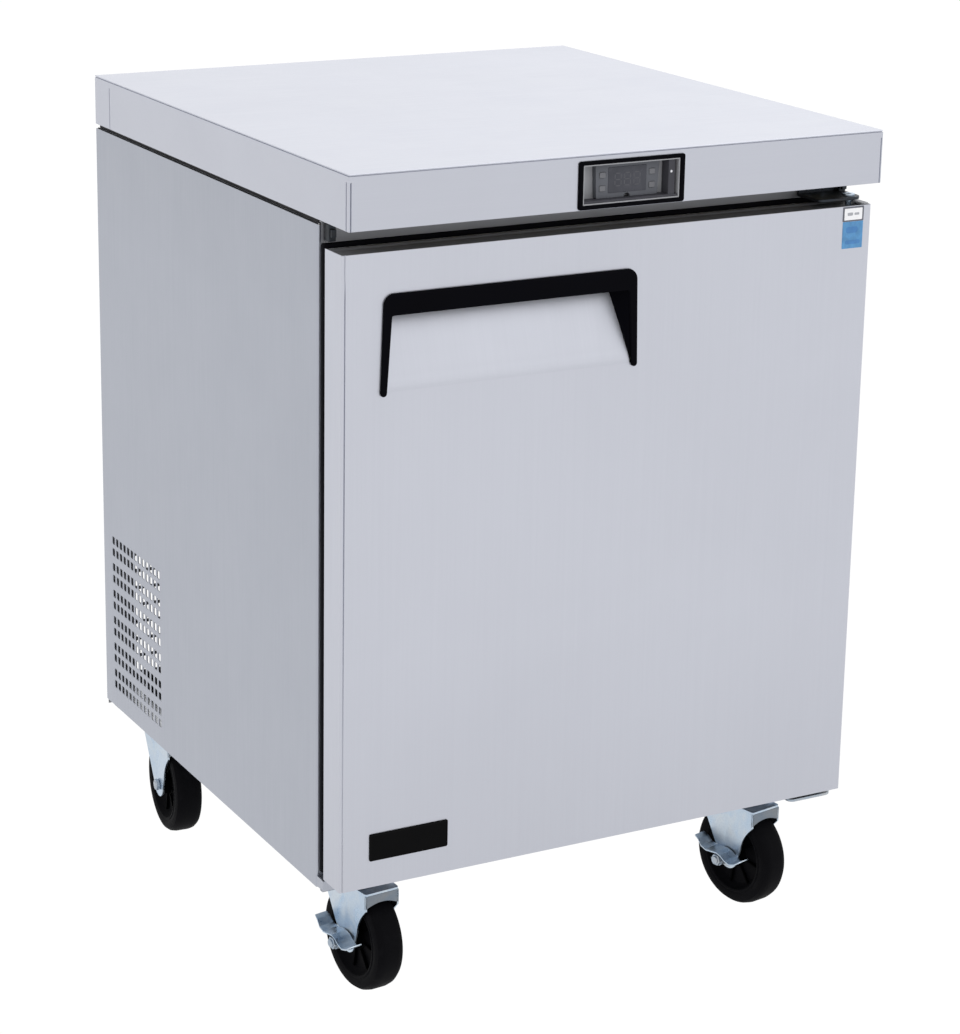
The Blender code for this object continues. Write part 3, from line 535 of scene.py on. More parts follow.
def painted(name, colour, roughness=0.38):
    """Sprayed enamel with orange peel."""
    mat, tree, shader = shader_material(name, colour, 0.0, roughness, Coat_Weight=0.06,
                                        Coat_Roughness=0.2, Specular_IOR_Level=0.16)
    peel = noise(tree, 420.0, detail=2.0)
    worn = noise(tree, 22.0, detail=5.0, roughness=0.65)
    surface(tree, shader, mixed(tree, worn, shade(colour, 0.8), shade(colour, 1.7)),
            ranged(tree, worn, roughness - 0.06, roughness + 0.12))
    bumped(tree, shader, [(peel, 0.16, 0.0002)])
    return mat


def plain_metal(name, colour, roughness, stain=(0.8, 0.8, 0.8), scale=40.0):
    """Bare metal, rolled or drawn, with stains."""
    mat, tree, shader = shader_material(name, colour, 1.0, roughness)
    marks = noise(tree, scale, detail=5.0, roughness=0.6)
    surface(tree, shader, mixed(tree, marks, tinted(colour, stain), colour),
            ranged(tree, marks, roughness - 0.08, roughness + 0.14))
    fine = noise(tree, 1100.0, detail=2.0)
    bumped(tree, shader, [(fine, 0.08, 0.00006)])
    return mat


def foamed(name, colour):
    """Rigid polyurethane foam with open cells."""
    mat, tree, shader = shader_material(name, colour, 0.0, 0.9)
    bubbles = cells(tree, 900.0)
    clouds = noise(tree, 18.0, detail=5.0)
    surface(tree, shader, mixed(tree, clouds, shade(colour, 0.8), shade(colour, 1.1)),
            ranged(tree, clouds, 0.82, 0.95))
    bumped(tree, shader, [(bubbles, 0.5, 0.0006)])
    return mat


def glossy(name, colour, roughness, coat, specular=0.16):
    """Polished dark plastic behind which little shows."""
    mat, tree, shader = shader_material(name, colour, 0.0, roughness, Coat_Weight=coat,
                                        Coat_Roughness=0.04, Specular_IOR_Level=specular)
    haze = noise(tree, 60.0, detail=4.0)
    surface(tree, shader, mixed(tree, haze, shade(colour, 0.9), shade(colour, 1.15)),
            ranged(tree, haze, roughness, roughness + 0.08))
    fine = noise(tree, 700.0, detail=1.0)
    bumped(tree, shader, [(fine, 0.03, 0.00005)])
    return mat


def printed(name, colour, mottling=0.08):
    """Printed film: an even colour with a little mottling, under a satin face."""
    mat, tree, shader = shader_material(name, colour, 0.0, 0.36)
    blotch = noise(tree, 160.0, detail=3.0)
    surface(tree, shader,
            mixed(tree, blotch, shade(colour, 1 - mottling), shade(colour, 1 + mottling)),
            ranged(tree, blotch, 0.3, 0.42))
    wrinkle = noise(tree, 90.0, detail=2.0)
    bumped(tree, shader, [(wrinkle, 0.06, 0.0003)])
    return mat


top_steel = brushed("worktop_steel", (0.525, 0.54, 0.6), "X", 0.36)
# Painted shade: the door's steel darkens towards its foot, to 0.925 at 0.16 m.
door_steel = brushed("door_steel", (0.553, 0.568, 0.628), "Z", 0.4,
                     painted_shading=[((0.0, 0.0, 1.0), (0.16, 0.925), (0.42, 1.0))])
# A lighter copy of the door's steel for the grip's hollow floor, banded by height: painted light
# and shade.
pocket_steel_painted_shading = brushed("pocket_steel_painted_shading", (0.619, 0.636, 0.703), "YZ", 0.4,
                       painted_shading=[((0.0, 0.0, 1.0), (0.73, 1.0), (0.752, 0.88)),
                              ((0.0, 0.0, 1.0), (0.775, 0.893), (0.836, 1.0))])
# A darker copy of the steel for the side sheets and the apron: partly a duller side sheet, partly
# painted shade. It darkens again near the top, as painted shade under the worktop.
side_steel_painted_shade = brushed("side_steel_painted_shade", (0.418, 0.438, 0.492), "Z", 0.4,
                     painted_shading=[((0.0, 0.0, 1.0), (0.78, 1.0), (0.92, 0.955))])
back_steel = brushed("back_steel", (0.52, 0.53, 0.55), "X", 0.42)
# A much darker copy of the steel for the sheet inside the machine compartment: painted shade.
bay_steel_painted_shade = brushed("bay_steel_painted_shade", (0.2, 0.205, 0.215), "X", 0.5)
# A darker copy of the steel for the rail under the worktop: painted shade.
rail_steel_painted_shade = brushed("rail_steel_painted_shade", (0.3, 0.305, 0.325), "X", 0.46)
pan_steel = brushed("pan_steel", (0.58, 0.6, 0.63), "X", 0.4)
black_trim = moulded("black_trim", (0.0012, 0.0012, 0.0024), 0.5, specular=0.028)
# The end caps' black plastic is lifted to dark grey: painted light against the shadow under the
# worktop.
cap_grey_painted_light = moulded("cap_grey_painted_light", (0.12, 0.122, 0.132), 0.5, specular=0.1)
frame_black = moulded("frame_black", (0.0045, 0.0045, 0.0065), 0.48, specular=0.05)
plate_black = glossy("nameplate_black", (0.0012, 0.0012, 0.0015), 0.24, 0.0, 0.05)
housing_grey = moulded("housing_grey", (0.34, 0.345, 0.365), 0.5)
shadow_grey = moulded("window_wall_grey", (0.055, 0.055, 0.065), 0.5)
controller_grey = moulded("controller_grey", (0.105, 0.11, 0.125), 0.45)
button_grey = moulded("button_grey", (0.15, 0.152, 0.165), 0.5)
display_dark = glossy("display_dark", (0.056, 0.058, 0.07), 0.22, 0.04)
segment_grey = printed("segment_grey", (0.064, 0.066, 0.078))
bright_dot = printed("indicator_white", (0.62, 0.63, 0.66))
zinc = zinc_plate()
# A dark copy of the zinc plate for the top hinge and the corner brackets under the worktop: painted
# shade.
zinc_dark_painted_shade = zinc_plate("zinc_dark_painted_shade", (0.05, 0.055, 0.062), 0.46)
# A darker copy of the zinc plate for the casters' arched front walls under the plates: painted
# shade.
zinc_painted_shade = zinc_plate("zinc_painted_shade", (0.21, 0.235, 0.262), 0.42)
zinc_dull = zinc_plate("zinc_dull", (0.42, 0.46, 0.5), 0.42)
tyre = rubber("caster_rubber", (0.0022, 0.0022, 0.003), 0.6, 0.05, 0.035)
hub_plastic = moulded("hub_plastic", (0.0008, 0.0008, 0.0011), 0.5, specular=0.012)
gasket_black = rubber("gasket_black", (0.012, 0.012, 0.014), 0.58, 0.05)
enamel_black = painted("enamel_black", (0.016, 0.016, 0.018))
rail_black = painted("rail_black", (0.022, 0.022, 0.026), 0.5)
aluminium = plain_metal("aluminium", (0.72, 0.72, 0.74), 0.34)
liner_metal = brushed("liner_aluminium", (0.7, 0.71, 0.73), "Z", 0.42, 0.03)
fin_metal = plain_metal("fin_aluminium", (0.62, 0.63, 0.65), 0.45)
copper = plain_metal("copper", (0.72, 0.34, 0.2), 0.32, (0.62, 0.66, 0.7), 30.0)
wire_coat = moulded("wire_coating", (0.6, 0.61, 0.63), 0.34, 900.0, 0.05, 0.5, 0.04)
white_liner = moulded("white_liner", (0.72, 0.735, 0.75), 0.38, 1600.0, 0.06, 0.3, 0.02)
white_cover = moulded("white_cover", (0.7, 0.71, 0.72), 0.4, 1600.0, 0.06, 0.3, 0.02)
foam_yellow = foamed("foam_yellow", (0.7, 0.58, 0.33))
label_white = printed("label_white", (0.8, 0.8, 0.82), 0.03)
label_shape = printed("label_dark_blue", (0.045, 0.18, 0.42), 0.1)
label_border = printed("label_border", (0.1, 0.105, 0.13))
label_grey = printed("label_grey", (0.36, 0.37, 0.4))
label_blue = printed("label_blue", (0.07, 0.235, 0.46), 0.14)


# ---------------------------------------------------------------- worktop
def control_window():
    """The opening inside the control bezel's rim: x0, x1, z0, z1."""
    low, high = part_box("control_bezel")
    rim, foot, head = 0.006, 0.0047, 0.0045
    return low.x + rim, high.x - rim, low.z + foot, high.z - head


def make_worktop():
    """Stainless top folded down on four sides and hemmed under, with its corner seams."""
    low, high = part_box("worktop")
    left, right, sill, head = control_window()
    wall, hem, corner, bend = 0.002, 0.014, 0.0012, 0.0009
    seam, seam_depth, slit, slit_foot = 0.0008, 0.0017, 0.0013, 0.7
    crease, crease_depth = 0.0016, 0.0013
    side_seams = (low.y + 0.0062, high.y - 0.05)
    front_seams = (low.x + 0.0024, high.x - 0.0024)

    def ring(inset, z, grooved):
        """One level of the skirt, counter-clockwise from the front left corner."""
        x0, x1, y0, y1 = low.x + inset, high.x - inset, low.y + inset, high.y - inset
        r = max(corner - inset, 0.0003)
        depth = seam_depth if grooved else 0.0

        def front_groove(x):
            return [(x - seam, y0), (x, y0 + depth), (x + seam, y0)]

        def side_groove(x, y, side):
            """A slit met while walking along +Y (side 1) or back along -Y (side -1)."""
            floor, s, t = x - side * depth, side * slit, side * slit * slit_foot
            return [(x, y - s), (floor, y - t), (floor, y + t), (x, y + s)]

        points = arc((x0 + r, y0 + r), r, 180, 270) + front_groove(front_seams[0])
        points += [(left, y0), (right, y0)] + front_groove(front_seams[1])
        points += arc((x1 - r, y0 + r), r, 270, 360)
        for y in side_seams:
            points += side_groove(x1, y, 1)
        points += arc((x1 - r, y1 - r), r, 0, 90) + arc((x0 + r, y1 - r), r, 90, 180)
        for y in reversed(side_seams):
            points += side_groove(x0, y, -1)
        return [(x, y, z) for x, y in points]

    top, bottom = high.z, low.z
    fold = top - bend
    levels = [(wall, top - wall, False), (wall, head, False), (wall, sill, False),
              (wall, bottom + wall, False), (hem, bottom + wall, False), (hem, bottom, False),
              (bend, bottom, False)]
    levels += [(bend - x, bottom + bend - z, True) for x, z in arc((0.0, 0.0), bend, 90, 0)[1:]]
    outer = len(levels)
    levels += [(0.0, sill, True), (0.0, head, True), (0.0, top - 0.0095, True),
               (0.0, top - 0.009, False), (0.0, fold - crease, False),
               (crease_depth, fold - crease * 0.7, False),
               (crease_depth, fold - crease * 0.3, False), (0.0, fold, False)]
    levels += [(bend - x, fold + z, False) for x, z in arc((0.0, 0.0), bend, 0, 90)[1:]]
    bm = bmesh.new()
    rings = loft(bm, [ring(*level) for level in levels])
    first, inner = ARC_STEPS + 4, 1          # the window's left edge, and its head's inner level
    inside, outside = [[rings[a][first], rings[a][first + 1], rings[b][first + 1], rings[b][first]]
                       for a, b in ((inner + 1, inner), (outer, outer + 1))]
    for cell in (inside, outside):
        face = [f for f in bm.faces if set(f.verts) == set(cell)]
        bmesh.ops.delete(bm, geom=face, context="FACES_ONLY")
    bridge(bm, inside, outside)
    piece("worktop_shell", bm, top_steel, CABINET, "stainless", ["worktop"], smooth=50.0)


# ---------------------------------------------------------------- cabinet
def make_side_panel(name, side):
    """Side sheet folded round at the front, with paired rows of vent slots low at the back."""
    low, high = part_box(name)
    columns, pitch = 13, 0.01285
    pairs, pair_pitch, slot_height, gap = 6, 0.037, 0.0108, 0.0054
    vent_y, vent_z = 0.171, 0.164
    slot = (0.0021, 0.001, 0.0016)         # margins along y and z, corner radius
    outer = side * max(abs(low.x), abs(high.x))
    inner = side * min(abs(low.x), abs(high.x))
    corner = fillet([(inner, low.y), (outer, low.y), (outer, high.y)], BEND, closed=False)
    path = corner[:-1] + [(outer, vent_y + k * pitch) for k in range(columns + 1)] + [corner[-1]]
    levels = [low.z]
    for pair, upper in product(range(pairs), (0, 1)):
        start = vent_z + pair * pair_pitch + upper * (slot_height + gap)
        levels += [start - slot[1], start + slot_height + slot[1]]
    levels += [high.z]
    slots = {(len(corner) - 1 + column, 1 + 2 * row): slot
             for column, row in product(range(columns), range(2 * pairs))}
    bm = bmesh.new()
    sheet(bm, path, levels, "Z", slots)
    # The side sheet's darker steel is partly painted shade.
    piece(name + "_sheet", bm, side_steel_painted_shade, CABINET, "stainless", [name], thicken=-SHEET * side)


def outward(bm, path, levels, slots=None):
    """A sheet of the back wall, with its faces turned to the outside."""
    sheet(bm, path, levels, "Z", slots)
    for face in bm.faces:
        face.normal_flip()


def make_back():
    """Back sheet with a pressed field, screwed on all round."""
    low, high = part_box("back_panel")
    field_inset, field_slope, field_rise = 0.03, 0.004, -0.0012
    bm = bmesh.new()
    outward(bm, [(low.x, high.y), (high.x, high.y)], [low.z, high.z])
    border = bmesh.ops.inset_individual(bm, faces=bm.faces[:], thickness=field_inset, depth=0.0)
    field = [f for f in bm.faces if f not in border["faces"]]
    bmesh.ops.inset_individual(bm, faces=field, thickness=field_slope, depth=field_rise)
    piece("back_sheet", bm, back_steel, CABINET, "stainless", ["back_panel"], thicken=-0.0009)
    edges = (low.x + 0.012, high.x - 0.012)
    spots = list(product((edges[0], 0.0, edges[1]), (low.z + 0.014, high.z - 0.014)))
    spots += product(edges, [(low.z + high.z) / 2])
    screws("back_screws", "+Y", high.y + LAY, spots, zinc_dull, CABINET, 0.004, 0.0018)


def make_rear_cover():
    """Removable cover with rows of long louvre slots; no hole is cut for the cord's gland."""
    low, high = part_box("rear_cover")
    gland_low, gland_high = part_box("cord_gland")
    rows, columns = 9, 4
    row_z, row_pitch, slot_height = 0.1705, 0.024, 0.0195
    column_x, column_pitch, slot_width = -0.302, 0.137, 0.127
    border, slot_corner, hole = 0.001, 0.0045, 0.0085
    gland_x = (gland_low.x + gland_high.x) / 2
    xs, zs = [low.x], [low.z]
    for column in range(columns):
        x = column_x + column * column_pitch
        xs += [x - border, x + slot_width + border]
    for row in range(rows):
        z = row_z + row * row_pitch
        zs += [z - border, z + slot_height + border]
    xs += [gland_x - hole, gland_x + hole, high.x]
    zs += [high.z]
    slots = {(1 + 2 * column, 1 + 2 * row): (border, border, slot_corner)
             for column, row in product(range(columns), range(rows))}
    bm = bmesh.new()
    outward(bm, [(x, high.y) for x in xs], zs, slots)
    piece("rear_cover_sheet", bm, back_steel, CABINET, "stainless", ["rear_cover"],
          thicken=-0.0011)
    foot, middle, head = 0.15, 0.272, high.z - 0.01
    spots = list(product((low.x + 0.014, high.x - 0.014), (foot, middle, head)))
    spots += [(0.0, foot), (0.0, head)]
    screws("rear_cover_screws", "+Y", high.y + LAY, spots, zinc_dull, CABINET, 0.0042, 0.0018)


def make_gland():
    """Ribbed cord gland in the rear cover: collar, nut and a short open sleeve."""
    low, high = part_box("cord_gland")
    x, z = (low.x + high.x) / 2, (low.z + high.z) / 2
    radius = (high.x - low.x) / 2
    face, ribs, rib_reach = 0.3658, 12, 0.0107
    bm = bmesh.new()
    turned(bm, [(0.0045, low.y), (0.0078, low.y), (0.0082, low.y + 0.001), (0.0082, face),
                (radius - 0.0006, face), (radius, face + 0.0006), (radius, face + 0.002),
                (radius - 0.0008, face + 0.0028), (0.009, face + 0.003), (0.0084, high.y),
                (0.0058, high.y), (0.0045, high.y - 0.0012)], (x, 0.0, z), "Y", 36)
    for k in range(ribs):
        angle = 2 * pi * k / ribs
        at = (x + rib_reach * cos(angle), 0.0, z + rib_reach * sin(angle))
        turned(bm, [(0.0, face + 0.0022), (0.0009, face + 0.0022), (0.0007, face + 0.0034),
                    (0.0, face + 0.0036)], at, "Y", 8)
    piece("cord_gland_body", bm, black_trim, CABINET, "black_plastic", ["cord_gland"])


def make_cabinet_top():
    """Sheet over the cabinet's insulation and the dark seal strip that the worktop sits on, with
    black films that darken the gap under the worktop's skirt: painted shade.
    """
    low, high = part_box("cabinet_insulation")
    worktop_low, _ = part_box("worktop")
    _, panel_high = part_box("side_panel_left")
    base = high.z + 0.0003
    top = base + 0.001
    bm = bmesh.new()
    block(bm, (low.x + 0.0001, low.y + 0.0003, base), (high.x - 0.0001, high.y, top), 0.001)
    piece("cabinet_top_sheet", bm, pan_steel, CABINET, "stainless")
    z0, z1 = top + 0.0002, worktop_low.z - 0.0002
    inset, width, soft = 0.0014, 0.012, 0.001
    front = 0.042                          # the seal starts this far behind the fascia's foam
    bm = bmesh.new()
    framed(bm, (low.x, high.x, low.y + front, high.y),
           [(inset, z0), (inset, z1 - soft), (inset + soft, z1), (inset + width, z1),
            (inset + width, z0)], "Z", 0.004)
    piece("worktop_seal", bm, gasket_black, CABINET, "gasket_rubber")
    # Black films on the insulation's sides and thin strips at the seal's front ends fill the gap
    # under the skirt: painted shade.
    tape, strip = 0.00012, 0.0008
    bm = bmesh.new()
    for side in (-1, 1):
        x = side * (high.x + tape * 0.9)
        block(bm, (x - tape / 2, low.y + 0.001, panel_high.z - 0.004),
              (x + tape / 2, high.y - 0.001, top))
        x = side * (high.x - 0.0005)
        block(bm, (x - strip / 2, low.y + 0.001, z0), (x + strip / 2, low.y + front + 0.002, z1))
    piece("worktop_tapes", bm, gasket_black, CABINET, "gasket_rubber")


def make_machine_bay():
    """Sheet over the insulation in front of and above the machine compartment, in a much darker
    copy of the steel: painted shade.
    """
    cover_low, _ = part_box("rear_cover")
    foam_low, foam_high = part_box("cabinet_insulation")
    front, ceiling, gap, thick, clear = 0.165, 0.4, 0.0004, 0.0007, 0.0006
    path = [(front + gap, foam_low.z + 0.001), (front + gap, ceiling - gap),
            (cover_low.y - clear, ceiling - gap)]
    bm = bmesh.new()
    extrude(bm, ribbon(path, -thick), "X", foam_low.x + clear, foam_high.x - clear)
    piece("machine_bay_sheet", bm, bay_steel_painted_shade, CABINET, "stainless")


def make_top_rail():
    """Folded rail under the worktop, in a darker copy of the steel: painted shade."""
    low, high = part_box("top_rail")
    path = fillet([(low.y, low.z), (low.y, high.z), (high.y, high.z)], BEND, closed=False)
    bm = bmesh.new()
    extrude(bm, ribbon(path, -SHEET), "X", low.x, high.x)
    piece("top_rail_sheet", bm, rail_steel_painted_shade, CABINET, "stainless", ["top_rail"])


def make_breaker_frame():
    """Black frame round the opening, with a fine groove about the liner's mouth."""
    low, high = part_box("front_frame")
    liner_low, liner_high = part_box("inner_liner")
    wall, soft, groove = 0.0015, 0.0012, 0.0009
    floor, ceiling = liner_low.z + wall, liner_high.z - wall
    left = liner_low.x + wall
    outer = rectangle(low.x, high.x, low.z, high.z, 0.003)
    inner = rectangle(left, low.x + high.x - left, floor, ceiling, 0.012)
    middle = (floor + ceiling) / 2
    front, back = low.y, high.y
    rings = []
    for outline, grow, y in ((outer, -soft, front), (outer, 0.0, front + soft), (outer, 0.0, back),
                             (inner, 0.0, back), (inner, 0.0, front + soft), (inner, soft, front),
                             (inner, 0.005, front), (inner, 0.0055, front + groove),
                             (inner, 0.0065, front + groove), (inner, 0.007, front)):
        rings.append([(x + (grow if x > 0 else -grow), y, z + (grow if z > middle else -grow))
                      for x, z in outline])
    bm = bmesh.new()
    loft(bm, rings, closed=True)
    piece("breaker_frame", bm, frame_black, CABINET, "black_plastic", ["front_frame"])


def make_base():
    """Apron under the door, the base tray with its pressed beads, and the rear rail."""
    low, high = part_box("base_pan")
    panel_low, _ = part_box("side_panel_left")
    apron_top, clear = 0.1525, 0.0002
    front = panel_low.y - 0.0003
    apron = fillet([(front, apron_top), (low.y, apron_top), (low.y, low.z),
                    (low.y + 0.007, low.z)], 0.0016, closed=False)
    bm = bmesh.new()
    extrude(bm, ribbon(apron, SHEET), "X", low.x, high.x)
    for side in (-1, 1):
        x = side * (high.x - 0.001)
        block(bm, (x - 0.0007, low.y + SHEET + clear, low.z + SHEET + clear),
              (x + 0.0007, front, apron_top - SHEET - clear))
    # The apron takes the side sheets' darker steel, partly painted shade.
    piece("apron", bm, side_steel_painted_shade, CABINET, "stainless", smooth=40.0)
    bm = bmesh.new()
    block(bm, (low.x + 0.0018, panel_low.y + 0.0018, high.z - 0.0045),
          (high.x - 0.0018, high.y, high.z), 0.003)
    bead_half, root, crest = 0.2, high.z - 0.004, high.z - 0.0062
    for y in (-0.23, -0.13, 0.02, 0.12):
        bead = [(y - 0.012, root), (y - 0.006, crest), (y + 0.006, crest), (y + 0.012, root)]
        extrude(bm, bead, "X", -bead_half, bead_half)
    piece("base_tray", bm, pan_steel, CABINET, "stainless", ["base_pan"], bevel=0.0006)
    rail_low, rail_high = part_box("rear_rail")
    channel = fillet([(rail_low.y, rail_high.z), (rail_low.y, rail_low.z),
                      (rail_high.y, rail_low.z), (rail_high.y, rail_high.z)], 0.0035, closed=False)
    bm = bmesh.new()
    extrude(bm, ribbon(channel, 0.002), "X", rail_low.x, rail_high.x)
    piece("rear_rail_channel", bm, rail_black, CABINET, "black_steel", ["rear_rail"])
    tab_half, tab_height = 0.02, 0.0175
    bm = bmesh.new()
    for side in (-1, 1):
        x = side * (high.x - 0.025)
        block(bm, (x - tab_half, rail_high.y + 0.0006, rail_high.z - tab_height),
              (x + tab_half, rail_high.y + 0.0022, rail_high.z - 0.0006), 0.002, "Y")
    piece("rear_rail_tabs", bm, zinc_dull, CABINET, "zinc_steel", bevel=0.0004)


def make_front_details():
    """Corner brackets behind the fascia and the screws of the breaker frame."""
    rail_low, rail_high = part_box("top_rail")
    frame_low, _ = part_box("front_frame")
    bracket_x, y = 0.333, rail_low.y - 0.0006
    for side, name in ((-1, "left"), (1, "right")):
        x = side * bracket_x
        bm = bmesh.new()
        block(bm, (x - 0.0045, y - 0.0105, rail_low.z + 0.003),
              (x + 0.0045, y, rail_high.z - 0.0016), 0.0012)
        block(bm, (x - 0.003, y - 0.0145, rail_low.z + 0.008),
              (x + 0.003, y - 0.0106, rail_low.z + 0.017), 0.001, "Y")
        # The corner brackets take the dark copy of the zinc plate: painted shade.
        piece(f"corner_bracket_{name}", bm, zinc_dark_painted_shade, CABINET, "zinc_steel", bevel=0.0004)
    spots = product((-0.33, 0.33), (0.25, 0.52, 0.79))
    screws("frame_screws", "-Y", frame_low.y - LAY, spots, zinc_dull, CABINET, 0.0032, 0.0012)


# ---------------------------------------------------------------- door
POCKET_DRAFT = 0.014                # how far the hollow's side walls lean in
POCKET_FLARE = 0.0054               # how far they spread at its foot
POCKET_SOFT = 0.008                 # how softly its floor leaves the door's face


def pocket_size():
    """The grip hollow's opening and depth, from the trim and the floor plate."""
    trim_low, trim_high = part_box("handle_trim")
    skin_low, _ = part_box("door_skin")
    side, foot, head, depth = 0.014, 0.0038, 0.008, 0.034
    return (trim_low.x + side, trim_high.x - side, trim_low.z + foot, trim_high.z - head,
            skin_low.y, depth)


def pocket_floor(z):
    """Depth of the hollow's floor at a height: flush at the foot, deepest under the bar."""
    _, _, foot, top, face, depth = pocket_size()
    rise, full = z - foot, top - foot
    share = (hypot(rise, POCKET_SOFT) - POCKET_SOFT) / (hypot(full, POCKET_SOFT) - POCKET_SOFT)
    return face + depth * share


def make_door_skin():
    """Door sheet wrapped round both sides, open for the grip's hollow."""
    low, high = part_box("door_skin")
    x0, x1, foot, top, face, _ = pocket_size()
    edge, wrap = 0.0022, 0.0024
    crease, crease_depth, lean = 0.0016, 0.0015, 0.0002
    fold, floor = low.x + wrap + 0.0002, face + crease_depth
    path = fillet([(low.x, high.y), (low.x, face), (high.x, face), (high.x, high.y)], wrap,
                  closed=False)
    middle = len(path) // 2
    path[middle:middle] = [(fold, face), (fold + lean, floor), (fold + crease - lean, floor),
                           (fold + crease, face), (x0 - edge, face), (x1 + edge, face)]
    levels = [low.z, foot + 0.0004, top + edge, high.z]
    bm = bmesh.new()
    sheet(bm, path, levels, "Z")
    for v in bm.verts:
        for edge_x, side in ((x0 - edge, -1), (x1 + edge, 1)):
            if abs(v.co.x - edge_x) < 1e-5 and abs(v.co.z - levels[1]) < 1e-5:
                v.co.x += side * POCKET_FLARE
    cell = [f for f in bm.faces
            if all(abs(v.co.y - face) < 1e-6 and x0 - 0.01 < v.co.x < x1 + 0.01
                   and foot - 0.001 < v.co.z < top + 0.01 for v in f.verts)]
    bmesh.ops.delete(bm, geom=cell, context="FACES_ONLY")
    piece("door_sheet", bm, door_steel, DOOR, "stainless", ["door_skin"], thicken=-0.0013)


def make_door_caps():
    """Black end caps between the wrapped sheet and the inner panel, channelled on the outside,
    their colour lifted to dark grey: painted light.
    """
    wall, lip = 0.0062, 0.0022
    corners = [0, 0.0009, 0.0009, 0.0006, 0.0006, 0.0009, 0.0009, 0]
    for name, up in (("door_top_cap", 1), ("door_bottom_cap", -1)):
        low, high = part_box(name)
        root, rim = (low.z, high.z) if up > 0 else (high.z, low.z)
        floor = rim - up * lip
        channel = [(low.y, root), (low.y, rim), (low.y + lip * 2, rim), (low.y + wall, floor),
                   (high.y - wall, floor), (high.y - lip * 2, rim), (high.y, rim), (high.y, root)]
        bm = bmesh.new()
        extrude(bm, fillet(channel, corners, 3), "X", low.x, high.x)
        piece(name + "_moulding", bm, cap_grey_painted_light, DOOR, "black_plastic", [name], smooth=40.0)


def make_door_liner():
    """Vacuum-formed inner panel: a flat rim, a gasket channel and a softly raised field."""
    low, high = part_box("door_liner")
    rim, rise = low.y + 0.0015, high.y
    profile = [(0.0, low.y), (0.0, rim), (0.056, rim), (0.057, rim + 0.0006),
               (0.061, rise - 0.003), (0.0635, rise - 0.0008), (0.0665, rise), (0.09, rise),
               (0.0925, rise - 0.001), (0.0975, rise - 0.003), (0.101, rise - 0.0034)]
    rings = []
    for inset, y in profile:
        ring = rectangle(low.x + inset, high.x - inset, low.z + inset, high.z - inset,
                         max(0.003, min(inset * 0.45, 0.03)), 6)
        rings.append([(x, y, z) for x, z in ring])
    bm = bmesh.new()
    loft(bm, rings)
    piece("door_inner_panel", bm, white_liner, DOOR, "white_plastic", ["door_liner"], smooth=50.0)
    rows, end = 6, 0.04
    pitch = (high.z - low.z - 2 * end) / (rows - 1)
    spots = product((low.x + 0.009, high.x - 0.009),
                    [low.z + end + k * pitch for k in range(rows)])
    screws("door_panel_screws", "+Y", rim + LAY, spots, zinc_dull, DOOR, 0.0034, 0.0011)


def make_gasket():
    """Magnetic gasket: dart, bellows and a soft magnet strip, mitred at the corners."""
    low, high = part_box("door_gasket")
    y0, y1 = low.y, high.y
    span = 0.022
    profile = [(0.004, y0), (0.018, y0), (0.018, y0 + 0.0022), (0.015, y0 + 0.003),
               (0.0188, y0 + 0.0046), (0.0216, y0 + 0.0062), (span, y1 - 0.0032),
               (span - 0.0012, y1 - 0.0006), (span - 0.0035, y1), (0.006, y1),
               (0.002, y1 - 0.0004), (0.0004, y1 - 0.0018), (0.0, y1 - 0.0046),
               (0.003, y0 + 0.0044), (0.0052, y0 + 0.003), (0.004, y0 + 0.002)]
    bm = bmesh.new()
    framed(bm, (low.x, high.x, low.z, high.z), profile, "Y", 0.0035, steps=3)
    piece("door_gasket_seal", bm, gasket_black, DOOR, "gasket_rubber", ["door_gasket"],
          smooth=24.0)


def handle_outline():
    """Front view of the black trim: a bar with two legs that taper to round ends."""
    low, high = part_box("handle_trim")
    flare, radius, tip, leg, bar, nook = 0.003, 0.013, 0.0038, 0.01, 0.0245, 0.002
    x0, x1, top = low.x + flare, high.x - flare, high.z
    inner = top - bar - nook
    return (arc((x0 + radius, top - radius), radius, 180, 90, 8)
            + arc((x1 - radius, top - radius), radius, 90, 0, 8)
            + arc((high.x - tip, low.z + tip), tip, 0, -180, 8)
            + arc((x1 - leg - nook, inner), nook, 0, 90, 3)
            + arc((x0 + leg + nook, inner), nook, 90, 180, 3)
            + arc((low.x + tip, low.z + tip), tip, 0, -180, 8))


